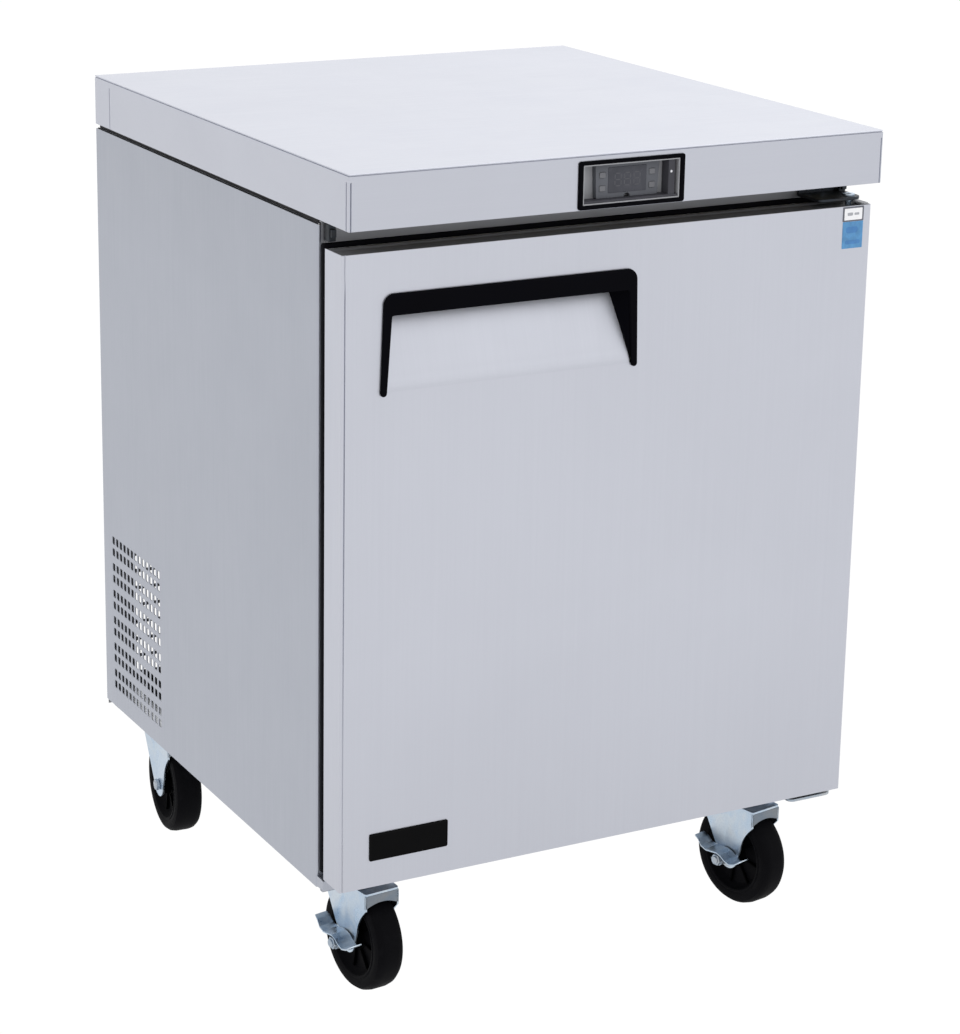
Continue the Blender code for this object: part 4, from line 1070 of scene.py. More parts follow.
def make_handle():
    """Grip: black trim with rounded edges, the hollow's three dark walls and its steel floor."""
    low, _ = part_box("handle_trim")
    x0, x1, foot, top, face, depth = pocket_size()
    steps = 16

    def wall_x(y, z, side):
        """Where a side wall stands: it leans in with depth and spreads towards the foot."""
        lean = POCKET_DRAFT * (y - face) / depth - POCKET_FLARE * (top - z) / (top - foot)
        return x0 + lean if side < 0 else x1 - lean

    bm = bmesh.new()
    extrude(bm, handle_outline(), "Y", low.y, face - 0.0001)
    piece("handle_bar", bm, black_trim, DOOR, "black_plastic", ["handle_trim"], smooth=40.0,
          bevel=0.0011, segments=3)
    heights = [foot + (top - foot) * k / steps for k in range(steps + 1)]
    floor_line = [(pocket_floor(z), z) for z in heights]
    bm = bmesh.new()
    rows = [[bm.verts.new((wall_x(y, z, side), y, z)) for side in (-1, 1)] for y, z in floor_line]
    for lower, upper in zip(rows, rows[1:]):
        bm.faces.new((lower[0], lower[1], upper[1], upper[0]))
    # The hollow's floor takes a lighter copy of the door's steel, banded by height: painted light
    # and shade.
    piece("handle_hollow_floor", bm, pocket_steel_painted_shading, DOOR, "stainless", ["handle_floor"],
          thicken=-0.0009, smooth=60.0)
    rim, clear = face - 0.0002, 0.0001
    bm = bmesh.new()
    for side in (-1, 1):
        columns = [[bm.verts.new((wall_x(at, z, side), at, z)) for at in (rim, y - clear)]
                   for y, z in floor_line]
        for a, b in zip(columns, columns[1:]):
            corners = (a[0], a[1], b[1], b[0])
            bm.faces.new(corners if side < 0 else corners[::-1])
    back = face + depth - clear
    ceiling = [(wall_x(y, top, side), y, top)
               for y, side in ((rim, -1), (back, -1), (back, 1), (rim, 1))]
    bm.faces.new([bm.verts.new(p) for p in ceiling])
    bmesh.ops.remove_doubles(bm, verts=bm.verts[:], dist=0.00005)
    piece("handle_hollow_walls", bm, black_trim, DOOR, "black_plastic", thicken=-0.0016)


def make_nameplate():
    """Blank glossy plate with a fine raised border and round corners."""
    low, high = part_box("nameplate")
    front = low.y
    bm = bmesh.new()
    framed(bm, (low.x, high.x, low.z, high.z),
           [(0.0, high.y), (0.0, front + 0.0004), (0.0003, front + 0.0001), (0.0007, front),
            (0.0015, front), (0.0018, front + 0.00025), (0.003, front + 0.0003)],
           "Y", 0.0022, closed=False)
    piece("nameplate_blank", bm, plate_black, DOOR, "black_plastic", ["nameplate"], smooth=45.0)


def make_labels():
    """Two generic stickers at the door's hinge corner, a white over a blue, and a corner cap."""
    skin_low, skin_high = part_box("door_skin")
    face, film, lift = skin_low.y, 0.00018, 0.00006
    right, top = skin_high.x - 0.0105, skin_high.z - 0.0006
    left, foot = right - 0.0295, top - 0.0175
    bottom = foot - 0.032
    centre = (left + right) / 2
    edge = 0.0022

    def patches(name, spots, near, far, mat, slot, radius):
        """Films from near to far before the door's face, each (x0, x1, z0, z1)."""
        bm = bmesh.new()
        for spot in spots:
            corner = radius or (spot[3] - spot[2]) * 0.45
            framed(bm, spot, [(0.0, face - near), (0.0, face - far)], "Y", corner, closed=False)
        piece(name, bm, mat, DOOR, slot)

    def marks(z, sizes):
        """Plain bars about a height: (shift in x, shift in z, half width, half height)."""
        return [(centre + dx - half, centre + dx + half, z + dz - tall, z + dz + tall)
                for dx, dz, half, tall in sizes]

    patches("label_upper_border", [(left, right, foot, top)], lift / 2, lift / 2 + film,
            label_border, "black_plastic", 0.0009)
    field = (left + edge, right - edge, foot + edge * 0.8, top - edge * 0.9)
    patches("label_upper_field", [field], film + lift, 2 * film + lift, label_white,
            "white_plastic", 0.0009)
    patches("label_lower", [(left + 0.0005, right - 0.0003, bottom, foot - 0.0002)],
            lift / 2, lift / 2 + film, label_blue, "white_plastic", 0.0009)
    lower = marks((bottom + foot) / 2,
                  ((-0.001, 0.006, 0.0085, 0.0038), (0.0005, -0.0085, 0.0105, 0.0024)))
    patches("label_lower_marks", lower, film + lift, film * 1.6, label_shape, "white_plastic", 0.0)
    upper = marks((foot + top) / 2,
                  ((-0.0045, 0.0, 0.0038, 0.0018), (0.0048, 0.0, 0.0034, 0.0014)))
    patches("label_upper_marks", upper, 2 * (film + lift), film * 2.6, label_grey,
            "black_plastic", 0.001)
    bm = bmesh.new()
    block(bm, (skin_high.x - 0.011, face + 0.0022, skin_high.z - 0.0004),
          (skin_high.x - 0.0018, face + 0.03, skin_high.z + 0.0018), 0.003)
    piece("door_corner_cap", bm, housing_grey, DOOR, "grey_plastic", bevel=0.0005)


# ---------------------------------------------------------------- hinges
def make_hinge(name, leaf_low, flange, pin, seat, screw_z):
    """Angle bracket with a rounded leaf and a flange, its pin on a bush, and its screws.

    flange and pin are (bottom, top); seat is where the bush lies, also (bottom, top)."""
    low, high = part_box(name)
    joint = next(j for j in frame["joints"] if j["name"] == "door_hinge")
    centre = (joint["pos_m"][0], joint["pos_m"][1], 0.0)
    thick, pin_r, bush_r, soft = 0.0035, 0.0038, 0.0072, 0.0008
    bm = bmesh.new()
    leaf = fillet(rectangle(low.x, high.x, low.y, high.y - 0.0002), [0.008, 0.011, 0.0, 0.0], 6)
    extrude(bm, leaf, "Z", leaf_low, leaf_low + thick)
    extrude(bm, rectangle(low.x, high.x, *flange, 0.003, 4), "Y", high.y - thick, high.y)
    # The top hinge under the worktop takes the dark copy of the zinc plate: painted shade.
    plating = zinc_dark_painted_shade if name.startswith("top") else zinc_dull
    piece(name + "_bracket", bm, plating, CABINET, "zinc_steel", [name], bevel=0.0006)
    foot, head = pin
    bm = bmesh.new()
    turned(bm, [(0.0, foot), (pin_r - soft, foot), (pin_r, foot + soft), (pin_r, head - soft),
                (pin_r - soft, head), (0.0, head)], centre, "Z", 24)
    turned(bm, [(0.0, seat[0]), (bush_r, seat[0]), (bush_r, seat[1]), (0.0, seat[1])],
           centre, "Z", 24)
    piece(name + "_pin", bm, zinc, CABINET, "zinc_steel", smooth=40.0)
    spots = [(low.x + x, screw_z) for x in (0.012, 0.033)]
    screws(name + "_screws", "-Y", high.y - thick - LAY, spots, zinc, CABINET, 0.004, 0.0022)


def make_hinges():
    """Hinge brackets above and below the door."""
    thick, pin_over, bush = 0.0035, 0.002, 0.0022
    low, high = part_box("top_hinge")
    leaf = low.z + 0.014
    head = leaf + thick + pin_over
    make_hinge("top_hinge", leaf, (leaf, high.z), (low.z, head), (head - bush, head),
               high.z - 0.006)
    low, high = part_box("bottom_hinge")
    leaf = 0.148 - thick
    foot = leaf - pin_over
    make_hinge("bottom_hinge", leaf, (low.z, leaf + thick), (foot, high.z), (foot, foot + bush),
               low.z + 0.0038)


# ---------------------------------------------------------------- controls
def welled(bm, outline, wells, face, depth, back):
    """A slab along Y from face to back, with blind wells of one depth in its face."""
    edges = []
    for points, floor in [(outline, back)] + [(well, face + depth) for well in wells]:
        mouth = [bm.verts.new((x, face, z)) for x, z in points]
        end = [bm.verts.new((x, floor, z)) for x, z in points]
        for k in range(len(points)):
            j = (k + 1) % len(points)
            edges.append(bm.edges.new((mouth[k], mouth[j])))
            bm.faces.new((mouth[k], mouth[j], end[j], end[k]))
        bm.faces.new(end)
    bmesh.ops.triangle_fill(bm, use_beauty=True, edges=edges)


BUTTONS = [f"button_{level}_{side}" for level, side in product(("lower", "upper"),
                                                               ("left", "right"))]


def make_control_frame():
    """Black frame of the window in the fascia."""
    low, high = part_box("control_bezel")
    outer, window = (low.x, high.x, low.z, high.z), control_window()
    front, soft = low.y, 0.0007
    rings = []
    for (x0, x1, z0, z1), grow, y, radius in (
            (outer, -soft, front, 0.0024), (outer, 0.0, front + soft, 0.003),
            (outer, 0.0, high.y, 0.003), (window, 0.0, high.y, 0.001),
            (window, 0.0, front + soft, 0.001), (window, soft, front, 0.0016)):
        ring = rectangle(x0 - grow, x1 + grow, z0 - grow, z1 + grow, radius, 4)
        rings.append([(x, y, z) for x, z in ring])
    bm = bmesh.new()
    loft(bm, rings, closed=True)
    piece("control_window_frame", bm, black_trim, CABINET, "black_plastic", ["control_bezel"],
          smooth=45.0)


def make_control_recess():
    """Open tray behind the window, with its step and sill and an indicator lamp."""
    low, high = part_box("control_housing")
    _, body_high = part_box("controller_body")
    wall, clear = 0.0012, 0.0002
    mouth, back = low.y + 0.0006, high.y - wall
    x0, x1, z0, z1 = low.x + wall, high.x - wall, low.z + wall, high.z - wall
    outer = rectangle(low.x, high.x, low.z, high.z, 0.0008, 2)
    inner = rectangle(x0, x1, z0, z1, 0.0006, 2)
    bm = bmesh.new()
    loft(bm, [[(x, y, z) for x, z in outline]
              for outline, y in ((outer, high.y), (outer, mouth), (inner, mouth), (inner, back))])
    piece("control_recess", bm, housing_grey, CABINET, "grey_plastic", ["control_housing"])
    step_x, step_width = body_high.x + 0.0085, 0.0085
    bm = bmesh.new()
    block(bm, (step_x, mouth + 0.002, z0 + clear),
          (step_x + step_width, back - 0.0003, z1 - clear), 0.0006)
    block(bm, (x0 + clear, mouth + 0.0012, z0 + 0.0001),
          (x1 - clear, back - 0.0003, z0 + 0.0026), 0.0003, "X")
    piece("control_recess_posts", bm, shadow_grey, CABINET, "grey_plastic", bevel=0.0003)
    lamp = (step_x + 0.0036, mouth, body_high.z - 0.013)
    bm = bmesh.new()
    turned(bm, [(0.0, 0.0012), (0.001, 0.0013), (0.0015, 0.0019), (0.0015, 0.0026),
                (0.0, 0.0026)], lamp, "Y", 16)
    piece("indicator_lamp", bm, bright_dot, CABINET, "white_plastic")


def make_controller():
    """Controller with a thumb notch and a well for each button, and its display window."""
    low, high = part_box("controller_body")
    lens_low, lens_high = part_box("display_lens")
    mid = (lens_low.x + lens_high.x) / 2
    soft, taper, notch_r = 0.0012, 0.0015, 0.0042
    notch = arc((mid, low.z), notch_r, 180, 0, 8)
    outline = [(low.x + taper, low.z), *notch, (high.x - taper, low.z), (high.x, high.z),
               (low.x, high.z)]
    radii = [soft] + [0.0] * len(notch) + [soft] * 3
    gap, depth = 0.0003, 0.0032
    wells = []
    for button in BUTTONS:
        b_low, b_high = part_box(button)
        wells.append(rectangle(b_low.x - gap, b_high.x + gap, b_low.z - gap, b_high.z + gap,
                               soft + gap, 4))
    bm = bmesh.new()
    welled(bm, fillet(outline, radii, 3), wells, low.y, depth, high.y - 0.0001)
    piece("controller_case", bm, controller_grey, CABINET, "grey_plastic", ["controller_body"],
          bevel=0.0005)
    bm = bmesh.new()
    framed(bm, (lens_low.x, lens_high.x, lens_low.z, lens_high.z),
           [(0.0, lens_high.y), (0.0, lens_low.y + 0.0002), (0.0003, lens_low.y)], "Y", soft,
           closed=False)
    piece("display_window", bm, display_dark, CABINET, "display_glass", ["display_lens"])


def make_digits():
    """Three unlit seven-segment digits on the display."""
    low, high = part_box("display_lens")
    middle_x, middle_z = (low.x + high.x) / 2, (low.z + high.z) / 2
    half_w, half_h, half_bar, pitch, film = 0.0039, 0.007, 0.00055, 0.0122, 0.00004
    end = 1.6 * half_bar                    # how far a segment stops before the digit's corner
    front = low.y - film
    bm = bmesh.new()
    for digit in (-1, 0, 1):
        x = middle_x + digit * pitch
        bars = [(x, middle_z + dz, half_w - end, 0) for dz in (-half_h, 0.0, half_h)]
        bars += [(x + sx * half_w, middle_z + sz * half_h / 2, half_h / 2 - end, 1)
                 for sx, sz in product((-1, 1), (-1, 1))]
        for bx, bz, reach, upright in bars:
            neck = reach - half_bar
            shape = [(-reach, 0.0), (-neck, -half_bar), (neck, -half_bar), (reach, 0.0),
                     (neck, half_bar), (-neck, half_bar)]
            if upright:
                shape = [(-b, a) for a, b in shape]
            extrude(bm, [(bx + a, bz + b) for a, b in shape], "Y", front - film, front)
    piece("display_segments", bm, segment_grey, CABINET, "grey_plastic")


def make_buttons():
    """Four buttons with a shallow dish in each cap."""
    for node in BUTTONS:
        low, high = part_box(node)
        front = low.y
        bm = bmesh.new()
        framed(bm, (low.x, high.x, low.z, high.z),
               [(0.0, high.y), (0.0, front + 0.0005), (0.0004, front + 0.0001), (0.0012, front),
                (0.0018, front + 0.0003)], "Y", 0.0012, closed=False)
        piece(node + "_cap", bm, button_grey, node, "black_plastic", [node])


# ---------------------------------------------------------------- inside
def make_inner_liner():
    """Inner liner with coved corners, stepped over the machine compartment, and its drain."""
    low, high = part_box("inner_liner")
    wall, cove, nose, inset = 0.0015, 0.014, 0.0022, 0.012
    step_z, step_y = 0.45, 0.115
    front, back = low.y, high.y - wall
    floor, ceiling, half = low.z + wall, high.z - wall, high.x - wall
    rings = []
    for shrink, x in ((inset, -half), (inset * 0.3, -half + inset * 0.3), (0.0, -half + inset),
                      (0.0, half - inset), (inset * 0.3, half - inset * 0.3), (inset, half)):
        corners = [(front, floor + shrink), (step_y - shrink, floor + shrink),
                   (step_y - shrink, step_z + shrink), (back - shrink, step_z + shrink),
                   (back - shrink, ceiling - shrink), (front, ceiling - shrink)]
        rings.append([(x, y, z) for y, z in fillet(corners, [0.0, cove, nose, cove, cove, 0.0])])
    bm = bmesh.new()
    loft(bm, rings)
    bmesh.ops.recalc_face_normals(bm, faces=bm.faces[:])
    mouth = [f for f in bm.faces if all(abs(v.co.y - front) < 1e-6 for v in f.verts)]
    bmesh.ops.delete(bm, geom=mouth, context="FACES_ONLY")
    piece("liner_shell", bm, liner_metal, CABINET, "aluminium", ["inner_liner"], smooth=40.0,
          thicken=0.0013)
    drain_r = 0.016
    bm = bmesh.new()
    turned(bm, [(0.0, 0.0003), (drain_r * 0.35, 0.0003), (drain_r * 0.5, 0.0008),
                (drain_r, 0.0009), (drain_r + 0.001, 0.0002), (drain_r + 0.001, 0.0001),
                (0.0, 0.0001)], (0.0, step_y - 0.06, floor), "Z", 32)
    piece("floor_drain", bm, black_trim, CABINET, "black_plastic")


def make_shelf(name):
    """Welded wire shelf: close wires front to back over cross wires and a heavier frame."""
    low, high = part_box(name)
    frame_r, wire_r, cross_r, corner = 0.0028, 0.0016, 0.0019, 0.012
    wires, crosses = 27, 3
    inset = frame_r + 0.0002
    frame_z = low.z + inset
    wire_z = high.z - wire_r - 0.0005
    loop = rectangle(low.x + inset, high.x - inset, low.y + inset, high.y - inset, corner)
    bm = bmesh.new()
    tube(bm, [(x, y, frame_z) for x, y in [*loop, loop[0]]], frame_r, 10)
    for k in range(1, wires):
        x = low.x + inset + k * (high.x - low.x - 2 * inset) / wires
        tube(bm, [(x, low.y + 0.0008, wire_z), (x, high.y - 0.0008, wire_z)], wire_r)
    for k in range(1, crosses + 1):
        y = low.y + k * (high.y - low.y) / (crosses + 1)
        tube(bm, [(low.x + 0.001, y, frame_z), (high.x - 0.001, y, frame_z)], cross_r)
    piece(name + "_wires", bm, wire_coat, CABINET, "zinc_steel", [name], smooth=60.0)


def make_rack(name, side):
    """Slotted uprights on a side wall, with the clips and bars that carry the shelves."""
    low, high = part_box(name)
    wall = side * max(abs(low.x), abs(high.x))
    reach = side * min(abs(low.x), abs(high.x))
    uprights, half, rise, taper = (-0.205, 0.04), 0.008, 0.0037, 0.0012
    pitch, slot_half, slot = 0.0125, 0.0024, (0.0042, 0.0, 0.0008)
    levels = [low.z]
    for row in range(int((high.z - low.z) / pitch)):
        z = low.z + (row + 0.5) * pitch
        levels += [z - slot_half, z + slot_half]
    levels += [high.z]
    crown = wall - side * rise
    bm = bmesh.new()
    for y in uprights:
        path = fillet([(wall, y - half), (crown, y - half + taper), (crown, y + half - taper),
                       (wall, y + half)], 0.0008, 2, closed=False)
        flat = next(k for k in range(len(path) - 1)
                    if (Vector(path[k + 1]) - Vector(path[k])).length > half)
        strip = bmesh.new()
        sheet(strip, path, levels, "Z", {(flat, j): slot for j in range(1, len(levels) - 2, 2)})
        bmesh.ops.recalc_face_normals(strip, faces=strip.faces[:])
        joined(bm, strip)
    piece(name + "_uprights", bm, zinc_dull, CABINET, "zinc_steel", [name], thicken=0.0008)
    bm = bmesh.new()
    clip = sorted((wall - side * 0.0041, wall - side * 0.0085))
    rest = wall - side * 0.004
    for shelf in ("shelf_lower", "shelf_upper"):
        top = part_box(shelf)[0].z - 0.0003
        bar = fillet([(rest, top - 0.015), (rest, top - 0.0001), (reach, top - 0.0001),
                      (reach, top - 0.006)], 0.0014, 3, closed=False)
        extrude(bm, ribbon(bar, 0.001 * side), "Y", low.y + 0.001, high.y - 0.001)
        for y in uprights:
            block(bm, (clip[0], y - 0.005, top - 0.024), (clip[1], y + 0.005, top - 0.0155),
                  0.0015)
    piece(name + "_bars", bm, zinc, CABINET, "zinc_steel")


def make_fan(node, body, mat, axis, hub_r, slot):
    """Axial fan: a capped hub with five curved, pitched blades that narrow to the root."""
    low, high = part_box(node)
    index = "XYZ".index(axis)
    radius = max(high - low) / 2
    depth = high[index] - low[index]
    half, blades, steps_u, steps_v = depth * 0.36, 5, 8, 6
    root, tip = hub_r * 0.9, radius * 0.985
    bm = bmesh.new()
    turned(bm, [(0.0, -half), (hub_r * 0.8, -half), (hub_r, -half * 0.7), (hub_r, half * 0.7),
                (hub_r * 0.8, half), (hub_r * 0.3, half), (0.0, half * 0.8)], (0, 0, 0), axis, 28)
    for blade in range(blades):
        grid = []
        for u in [i / steps_u for i in range(steps_u + 1)]:
            r, chord, row = root + (tip - root) * u, radians(34 + 20 * u), []
            for v in [j / steps_v - 0.5 for j in range(steps_v + 1)]:
                angle = 2 * pi * blade / blades + chord * v + 0.22 * u * u
                camber = 0.06 * depth * (1 - (2 * v) ** 2)
                height = camber - v * depth * (0.784 - 0.147 * u)
                row.append(bm.verts.new(placed(axis, r * cos(angle), r * sin(angle), height)))
            grid.append(row)
        faces = patch(bm, grid)
        bmesh.ops.solidify(bm, geom=faces, thickness=0.0011)
    bm.transform(Matrix.Translation((low + high) / 2))
    piece(node + "_rotor", bm, mat, body, slot, [node], smooth=50.0)


def fin_pack(node, axis, pitch, tube_r=0.004):
    """Heat exchanger: thin fins across two rows of copper tubes with return bends at the ends."""
    low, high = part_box(node)
    index = "XYZ".index(axis)
    face = 1 - index
    margin, rows, bend_steps = 0.012, 2, 6

    def plate(bm, t, half, clear_face, clear_z):
        """A thin block across the axis at t."""
        a, b = list(low), list(high)
        a[index], b[index] = t - half, t + half
        a[face], b[face] = low[face] + clear_face, high[face] - clear_face
        a[2], b[2] = low[2] + clear_z, high[2] - clear_z
        block(bm, a, b)

    def point(along, across, z):
        result = [0.0, 0.0, z]
        result[index], result[face] = along, across
        return result

    bm = bmesh.new()
    for k in range(int((high[index] - low[index] - 2 * margin) / pitch) + 1):
        plate(bm, low[index] + margin + k * pitch, 0.00012, 0.0012, 0.001)
    piece(node + "_fins", bm, fin_metal, CABINET, "aluminium", [node])
    passes = int((high.z - low.z) / 0.0254)
    step = (high.z - low.z) / passes
    ends = (low[index] + margin * 0.6, high[index] - margin * 0.6)
    reach = margin * 0.6 - tube_r - 0.0004
    bm = bmesh.new()
    for row in range(rows):
        across = low[face] + (high[face] - low[face]) * (row + 0.5) / rows
        heights = [low.z + (k + 0.5) * step for k in range(passes)]
        for z in heights:
            tube(bm, [point(t, across, z) for t in ends], tube_r)
        for k, z in enumerate(heights[:-1]):
            end, sign = (ends[1], 1) if k % 2 == 0 else (ends[0], -1)
            turns = [pi * j / bend_steps - pi / 2 for j in range(bend_steps + 1)]
            tube(bm, [point(end + sign * reach * cos(turn), across, z + step / 2 * (1 + sin(turn)))
                      for turn in turns], tube_r)
    piece(node + "_tubes", bm, copper, CABINET, "aluminium", smooth=60.0)
    bm = bmesh.new()
    for t in (low[index] + margin * 0.75, high[index] - margin * 0.75):
        plate(bm, t, 0.0007, 0.0002, 0.0)
    piece(node + "_end_plates", bm, zinc_dull, CABINET, "zinc_steel")


def round_ring(bm, ring, centre, radius, axis, at):
    """Vertices on a circle about centre, one towards each of ring's, at a place on the axis."""
    a, b = [k for k in range(3) if k != "XYZ".index(axis)]
    result = []
    for vertex in ring:
        angle = atan2(vertex.co[b] - centre[b], vertex.co[a] - centre[a])
        spot = placed(axis, centre[a] + radius * cos(angle), centre[b] + radius * sin(angle), at)
        result.append(bm.verts.new(spot))
    return result


def make_evaporator():
    """Fan coil under the ceiling: cover with a ring grille, fan, motor on its bracket and coil."""
    low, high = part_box("evaporator_cover")
    fan_low, fan_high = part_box("evaporator_fan")
    centre = (fan_low + fan_high) / 2
    front, soft, wall, opening, hub = low.y, 0.008, 0.002, 0.052, 0.012
    rings = []
    for inset, y in ((0.0, high.y), (0.0, front + soft), (soft * 0.3, front + soft * 0.3),
                     (soft, front)):
        ring = rectangle(low.x + inset, high.x - inset, low.z + inset, high.z - inset,
                         max(0.014 - inset, 0.004), 11)
        rings.append([(x, y, z) for x, z in ring])
    bm = bmesh.new()
    edge = loft(bm, rings, capped=False)[-1]
    bridge(bm, edge, round_ring(bm, edge, centre, opening, "Y", front))
    bmesh.ops.recalc_face_normals(bm, faces=bm.faces[:])
    if sum(f.normal.y * f.calc_area() for f in bm.faces) > 0.0:
        bmesh.ops.reverse_faces(bm, faces=bm.faces[:])
    piece("evaporator_casing", bm, white_cover, CABINET, "white_plastic", ["evaporator_cover"],
          smooth=40.0, thicken=-wall)
    rings, spokes, half = 6, 8, 0.0009
    y0, y1, spoke_y = front + 0.0004, front + 0.0022, front + 0.003
    bm = bmesh.new()
    for k in range(rings):
        r = hub + (opening - hub + 0.0005) * k / (rings - 1)
        turned(bm, [(r - half, y0), (r + half, y0), (r + half, y1), (r - half, y1)],
               (centre.x, 0.0, centre.z), "Y", 40)
    for k in range(spokes):
        angle = 2 * pi * k / spokes + 0.2
        tube(bm, [(centre.x + r * cos(angle), spoke_y, centre.z + r * sin(angle))
                  for r in (hub, opening + 0.001)], 0.001)
    piece("evaporator_grille", bm, white_cover, CABINET, "white_plastic", smooth=40.0)
    inset = 0.016
    spots = product((low.x + inset, high.x - inset), (low.z + inset, high.z - inset))
    screws("evaporator_screws", "-Y", front - LAY, spots, zinc, CABINET, 0.0036, 0.0016)
    make_fan("evaporator_fan", "evaporator_fan", black_trim, "Y", 0.015, "black_plastic")
    low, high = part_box("evaporator_motor")
    mid = (low + high) / 2
    r = (high.z - low.z) / 2
    bm = bmesh.new()
    turned(bm, [(0.0, low.y), (0.006, low.y), (0.007, low.y + 0.0012), (r - 0.002, low.y + 0.002),
                (r, low.y + 0.0045), (r, high.y - 0.006), (r - 0.0015, high.y - 0.005),
                (r - 0.0015, high.y - 0.002), (r - 0.004, high.y), (0.0, high.y)],
           (mid.x, 0.0, mid.z), "Y", 32)
    piece("evaporator_motor_can", bm, enamel_black, CABINET, "black_steel", ["evaporator_motor"],
          smooth=40.0)
    bm = bmesh.new()
    for side in (-1, 1):
        x0, x1 = sorted((side * (r - 0.001), side * high.x))
        block(bm, (x0, mid.y - 0.0018, mid.z - 0.0055), (x1, mid.y - 0.0002, mid.z + 0.0055),
              0.001, "X")
    piece("evaporator_motor_bracket", bm, zinc, CABINET, "zinc_steel")
    fin_pack("evaporator_coil", "X", 0.0042)


def make_compressor():
    """Compressor with its base on four feet, and the two pipes that leave it."""
    low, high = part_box("compressor")
    coil_low, coil_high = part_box("condenser_coil")
    mid, floor = (low + high) / 2, low.z
    tray, foot_x, foot_y = (floor + 0.005, floor + 0.007), 0.06, 0.056
    bm = bmesh.new()
    block(bm, (low.x, low.y, tray[0]), (high.x, high.y, tray[1]), 0.014)
    for x, y in product((-foot_x, foot_x), (-foot_y, foot_y)):
        turned(bm, [(0.0, 0.0), (0.011, 0.0), (0.012, 0.002), (0.008, 0.0048), (0.0, 0.0048)],
               (mid.x + x, mid.y + y, floor), "Z", 20)
    piece("compressor_base", bm, enamel_black, CABINET, "black_steel")
    bm = bmesh.new()
    turned(bm, [(0.0, 0.0072), (0.048, 0.0072), (0.056, 0.014), (0.059, 0.026),
                (0.059, 0.074), (0.0604, 0.0755), (0.0604, 0.082), (0.059, 0.0835),
                (0.059, 0.112), (0.056, 0.133), (0.047, 0.149), (0.033, 0.159),
                (0.016, 0.1635), (0.0, 0.1645)], (mid.x, mid.y, floor), "Z", 48)
    block(bm, (mid.x - 0.068, mid.y - 0.024, floor + 0.05),
          (mid.x - 0.054, mid.y + 0.024, floor + 0.106), 0.005, "X")
    piece("compressor_shell", bm, enamel_black, CABINET, "black_steel", ["compressor"],
          smooth=46.0)
    bm = bmesh.new()

    def pipe(points, radius, bend=0.015, steps=5):
        """A pipe through the points, with its corners bent round."""
        points = [Vector(p) for p in points]
        path = [points[0]]
        for before, here, after in zip(points, points[1:], points[2:]):
            a = here + (before - here).normalized() * bend
            b = here + (after - here).normalized() * bend
            path += [a.lerp(here, t).lerp(here.lerp(b, t), t)
                     for t in (j / steps for j in range(steps + 1))]
        tube(bm, path + [points[-1]], radius, 10)

    x, y, high_z = mid.x - 0.082, mid.y - 0.03, coil_high.z - 0.05
    coil_y = coil_low.y + 0.006
    pipe([(mid.x - 0.045, y, floor + 0.1), (x, y, floor + 0.1), (x, y, high_z),
          (x, coil_y, high_z), (coil_high.x + 0.04, coil_y, high_z)], 0.0032)
    x, y, top = mid.x + 0.03, mid.y - 0.035, floor + 0.138
    pipe([(x, y, top), (x, y, top + 0.08), (x, low.y - 0.018, top + 0.08)], 0.0048)
    piece("refrigerant_pipes", bm, copper, CABINET, "aluminium", smooth=60.0)


def make_condenser():
    """Condenser coil, its fan in a shroud, the fan's motor on a foot, and the drain pan."""
    fin_pack("condenser_coil", "Y", 0.0034, 0.0045)
    low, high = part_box("fan_shroud")
    fan_low, fan_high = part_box("condenser_fan")
    centre = (fan_low + fan_high) / 2
    opening, edge = 0.0735, 0.0005
    outer = rectangle(low.y + edge, high.y - edge, low.z + edge, high.z - edge, 0.004, 11)
    bm = bmesh.new()
    rim = loft(bm, [[(x, y, z) for y, z in outer] for x in (low.x + 0.0008, high.x)],
               capped=False)[-1]
    rings = [rim] + [round_ring(bm, rim, centre, opening + grow, "X", x) for x, grow in
                     ((high.x, 0.003), (high.x - 0.003, 0.0), (low.x + 0.004, 0.0))]
    for a, b in zip(rings, rings[1:]):
        bridge(bm, a, b)
    bmesh.ops.recalc_face_normals(bm, faces=bm.faces[:])
    piece("fan_shroud_plate", bm, zinc_dull, CABINET, "zinc_steel", ["fan_shroud"], smooth=40.0,
          thicken=-0.0008)
    make_fan("condenser_fan", "condenser_fan", aluminium, "X", 0.02, "aluminium")
    low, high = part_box("condenser_motor")
    r, groove = 0.028, 0.026
    bm = bmesh.new()
    turned(bm, [(0.0, low.x), (r - 0.006, low.x), (r, low.x + 0.005), (r, high.x - 0.016),
                (groove, high.x - 0.015), (groove, high.x - 0.012), (r, high.x - 0.011),
                (r, high.x - 0.005), (r - 0.006, high.x), (0.0, high.x)],
           (0.0, centre.y, centre.z), "X", 36)
    piece("condenser_motor_can", bm, enamel_black, CABINET, "black_steel", ["condenser_motor"],
          smooth=40.0)
    heel, toe, floor = low.x + 0.04, low.x + 0.01, low.z + 0.0012
    foot = fillet([(toe, floor), (heel, floor), (heel, centre.z - r + 0.001)], 0.003, 4,
                  closed=False)
    bm = bmesh.new()
    extrude(bm, ribbon(foot, 0.0018), "Y", centre.y - 0.015, centre.y + 0.015)
    piece("condenser_motor_foot", bm, zinc_dull, CABINET, "zinc_steel")
    low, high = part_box("drain_pan")
    bm = bmesh.new()
    framed(bm, (low.x, high.x, low.y, high.y),
           [(0.006, low.z), (0.003, low.z + 0.0008), (0.0022, low.z + 0.003),
            (0.0012, high.z - 0.0016), (0.0, high.z - 0.0014), (0.0, high.z), (0.003, high.z),
            (0.0036, high.z - 0.0008), (0.0044, low.z + 0.0034), (0.007, low.z + 0.0018)],
           "Z", 0.014, closed=False)
    piece("drain_pan_tray", bm, black_trim, CABINET, "black_plastic", ["drain_pan"], smooth=50.0)


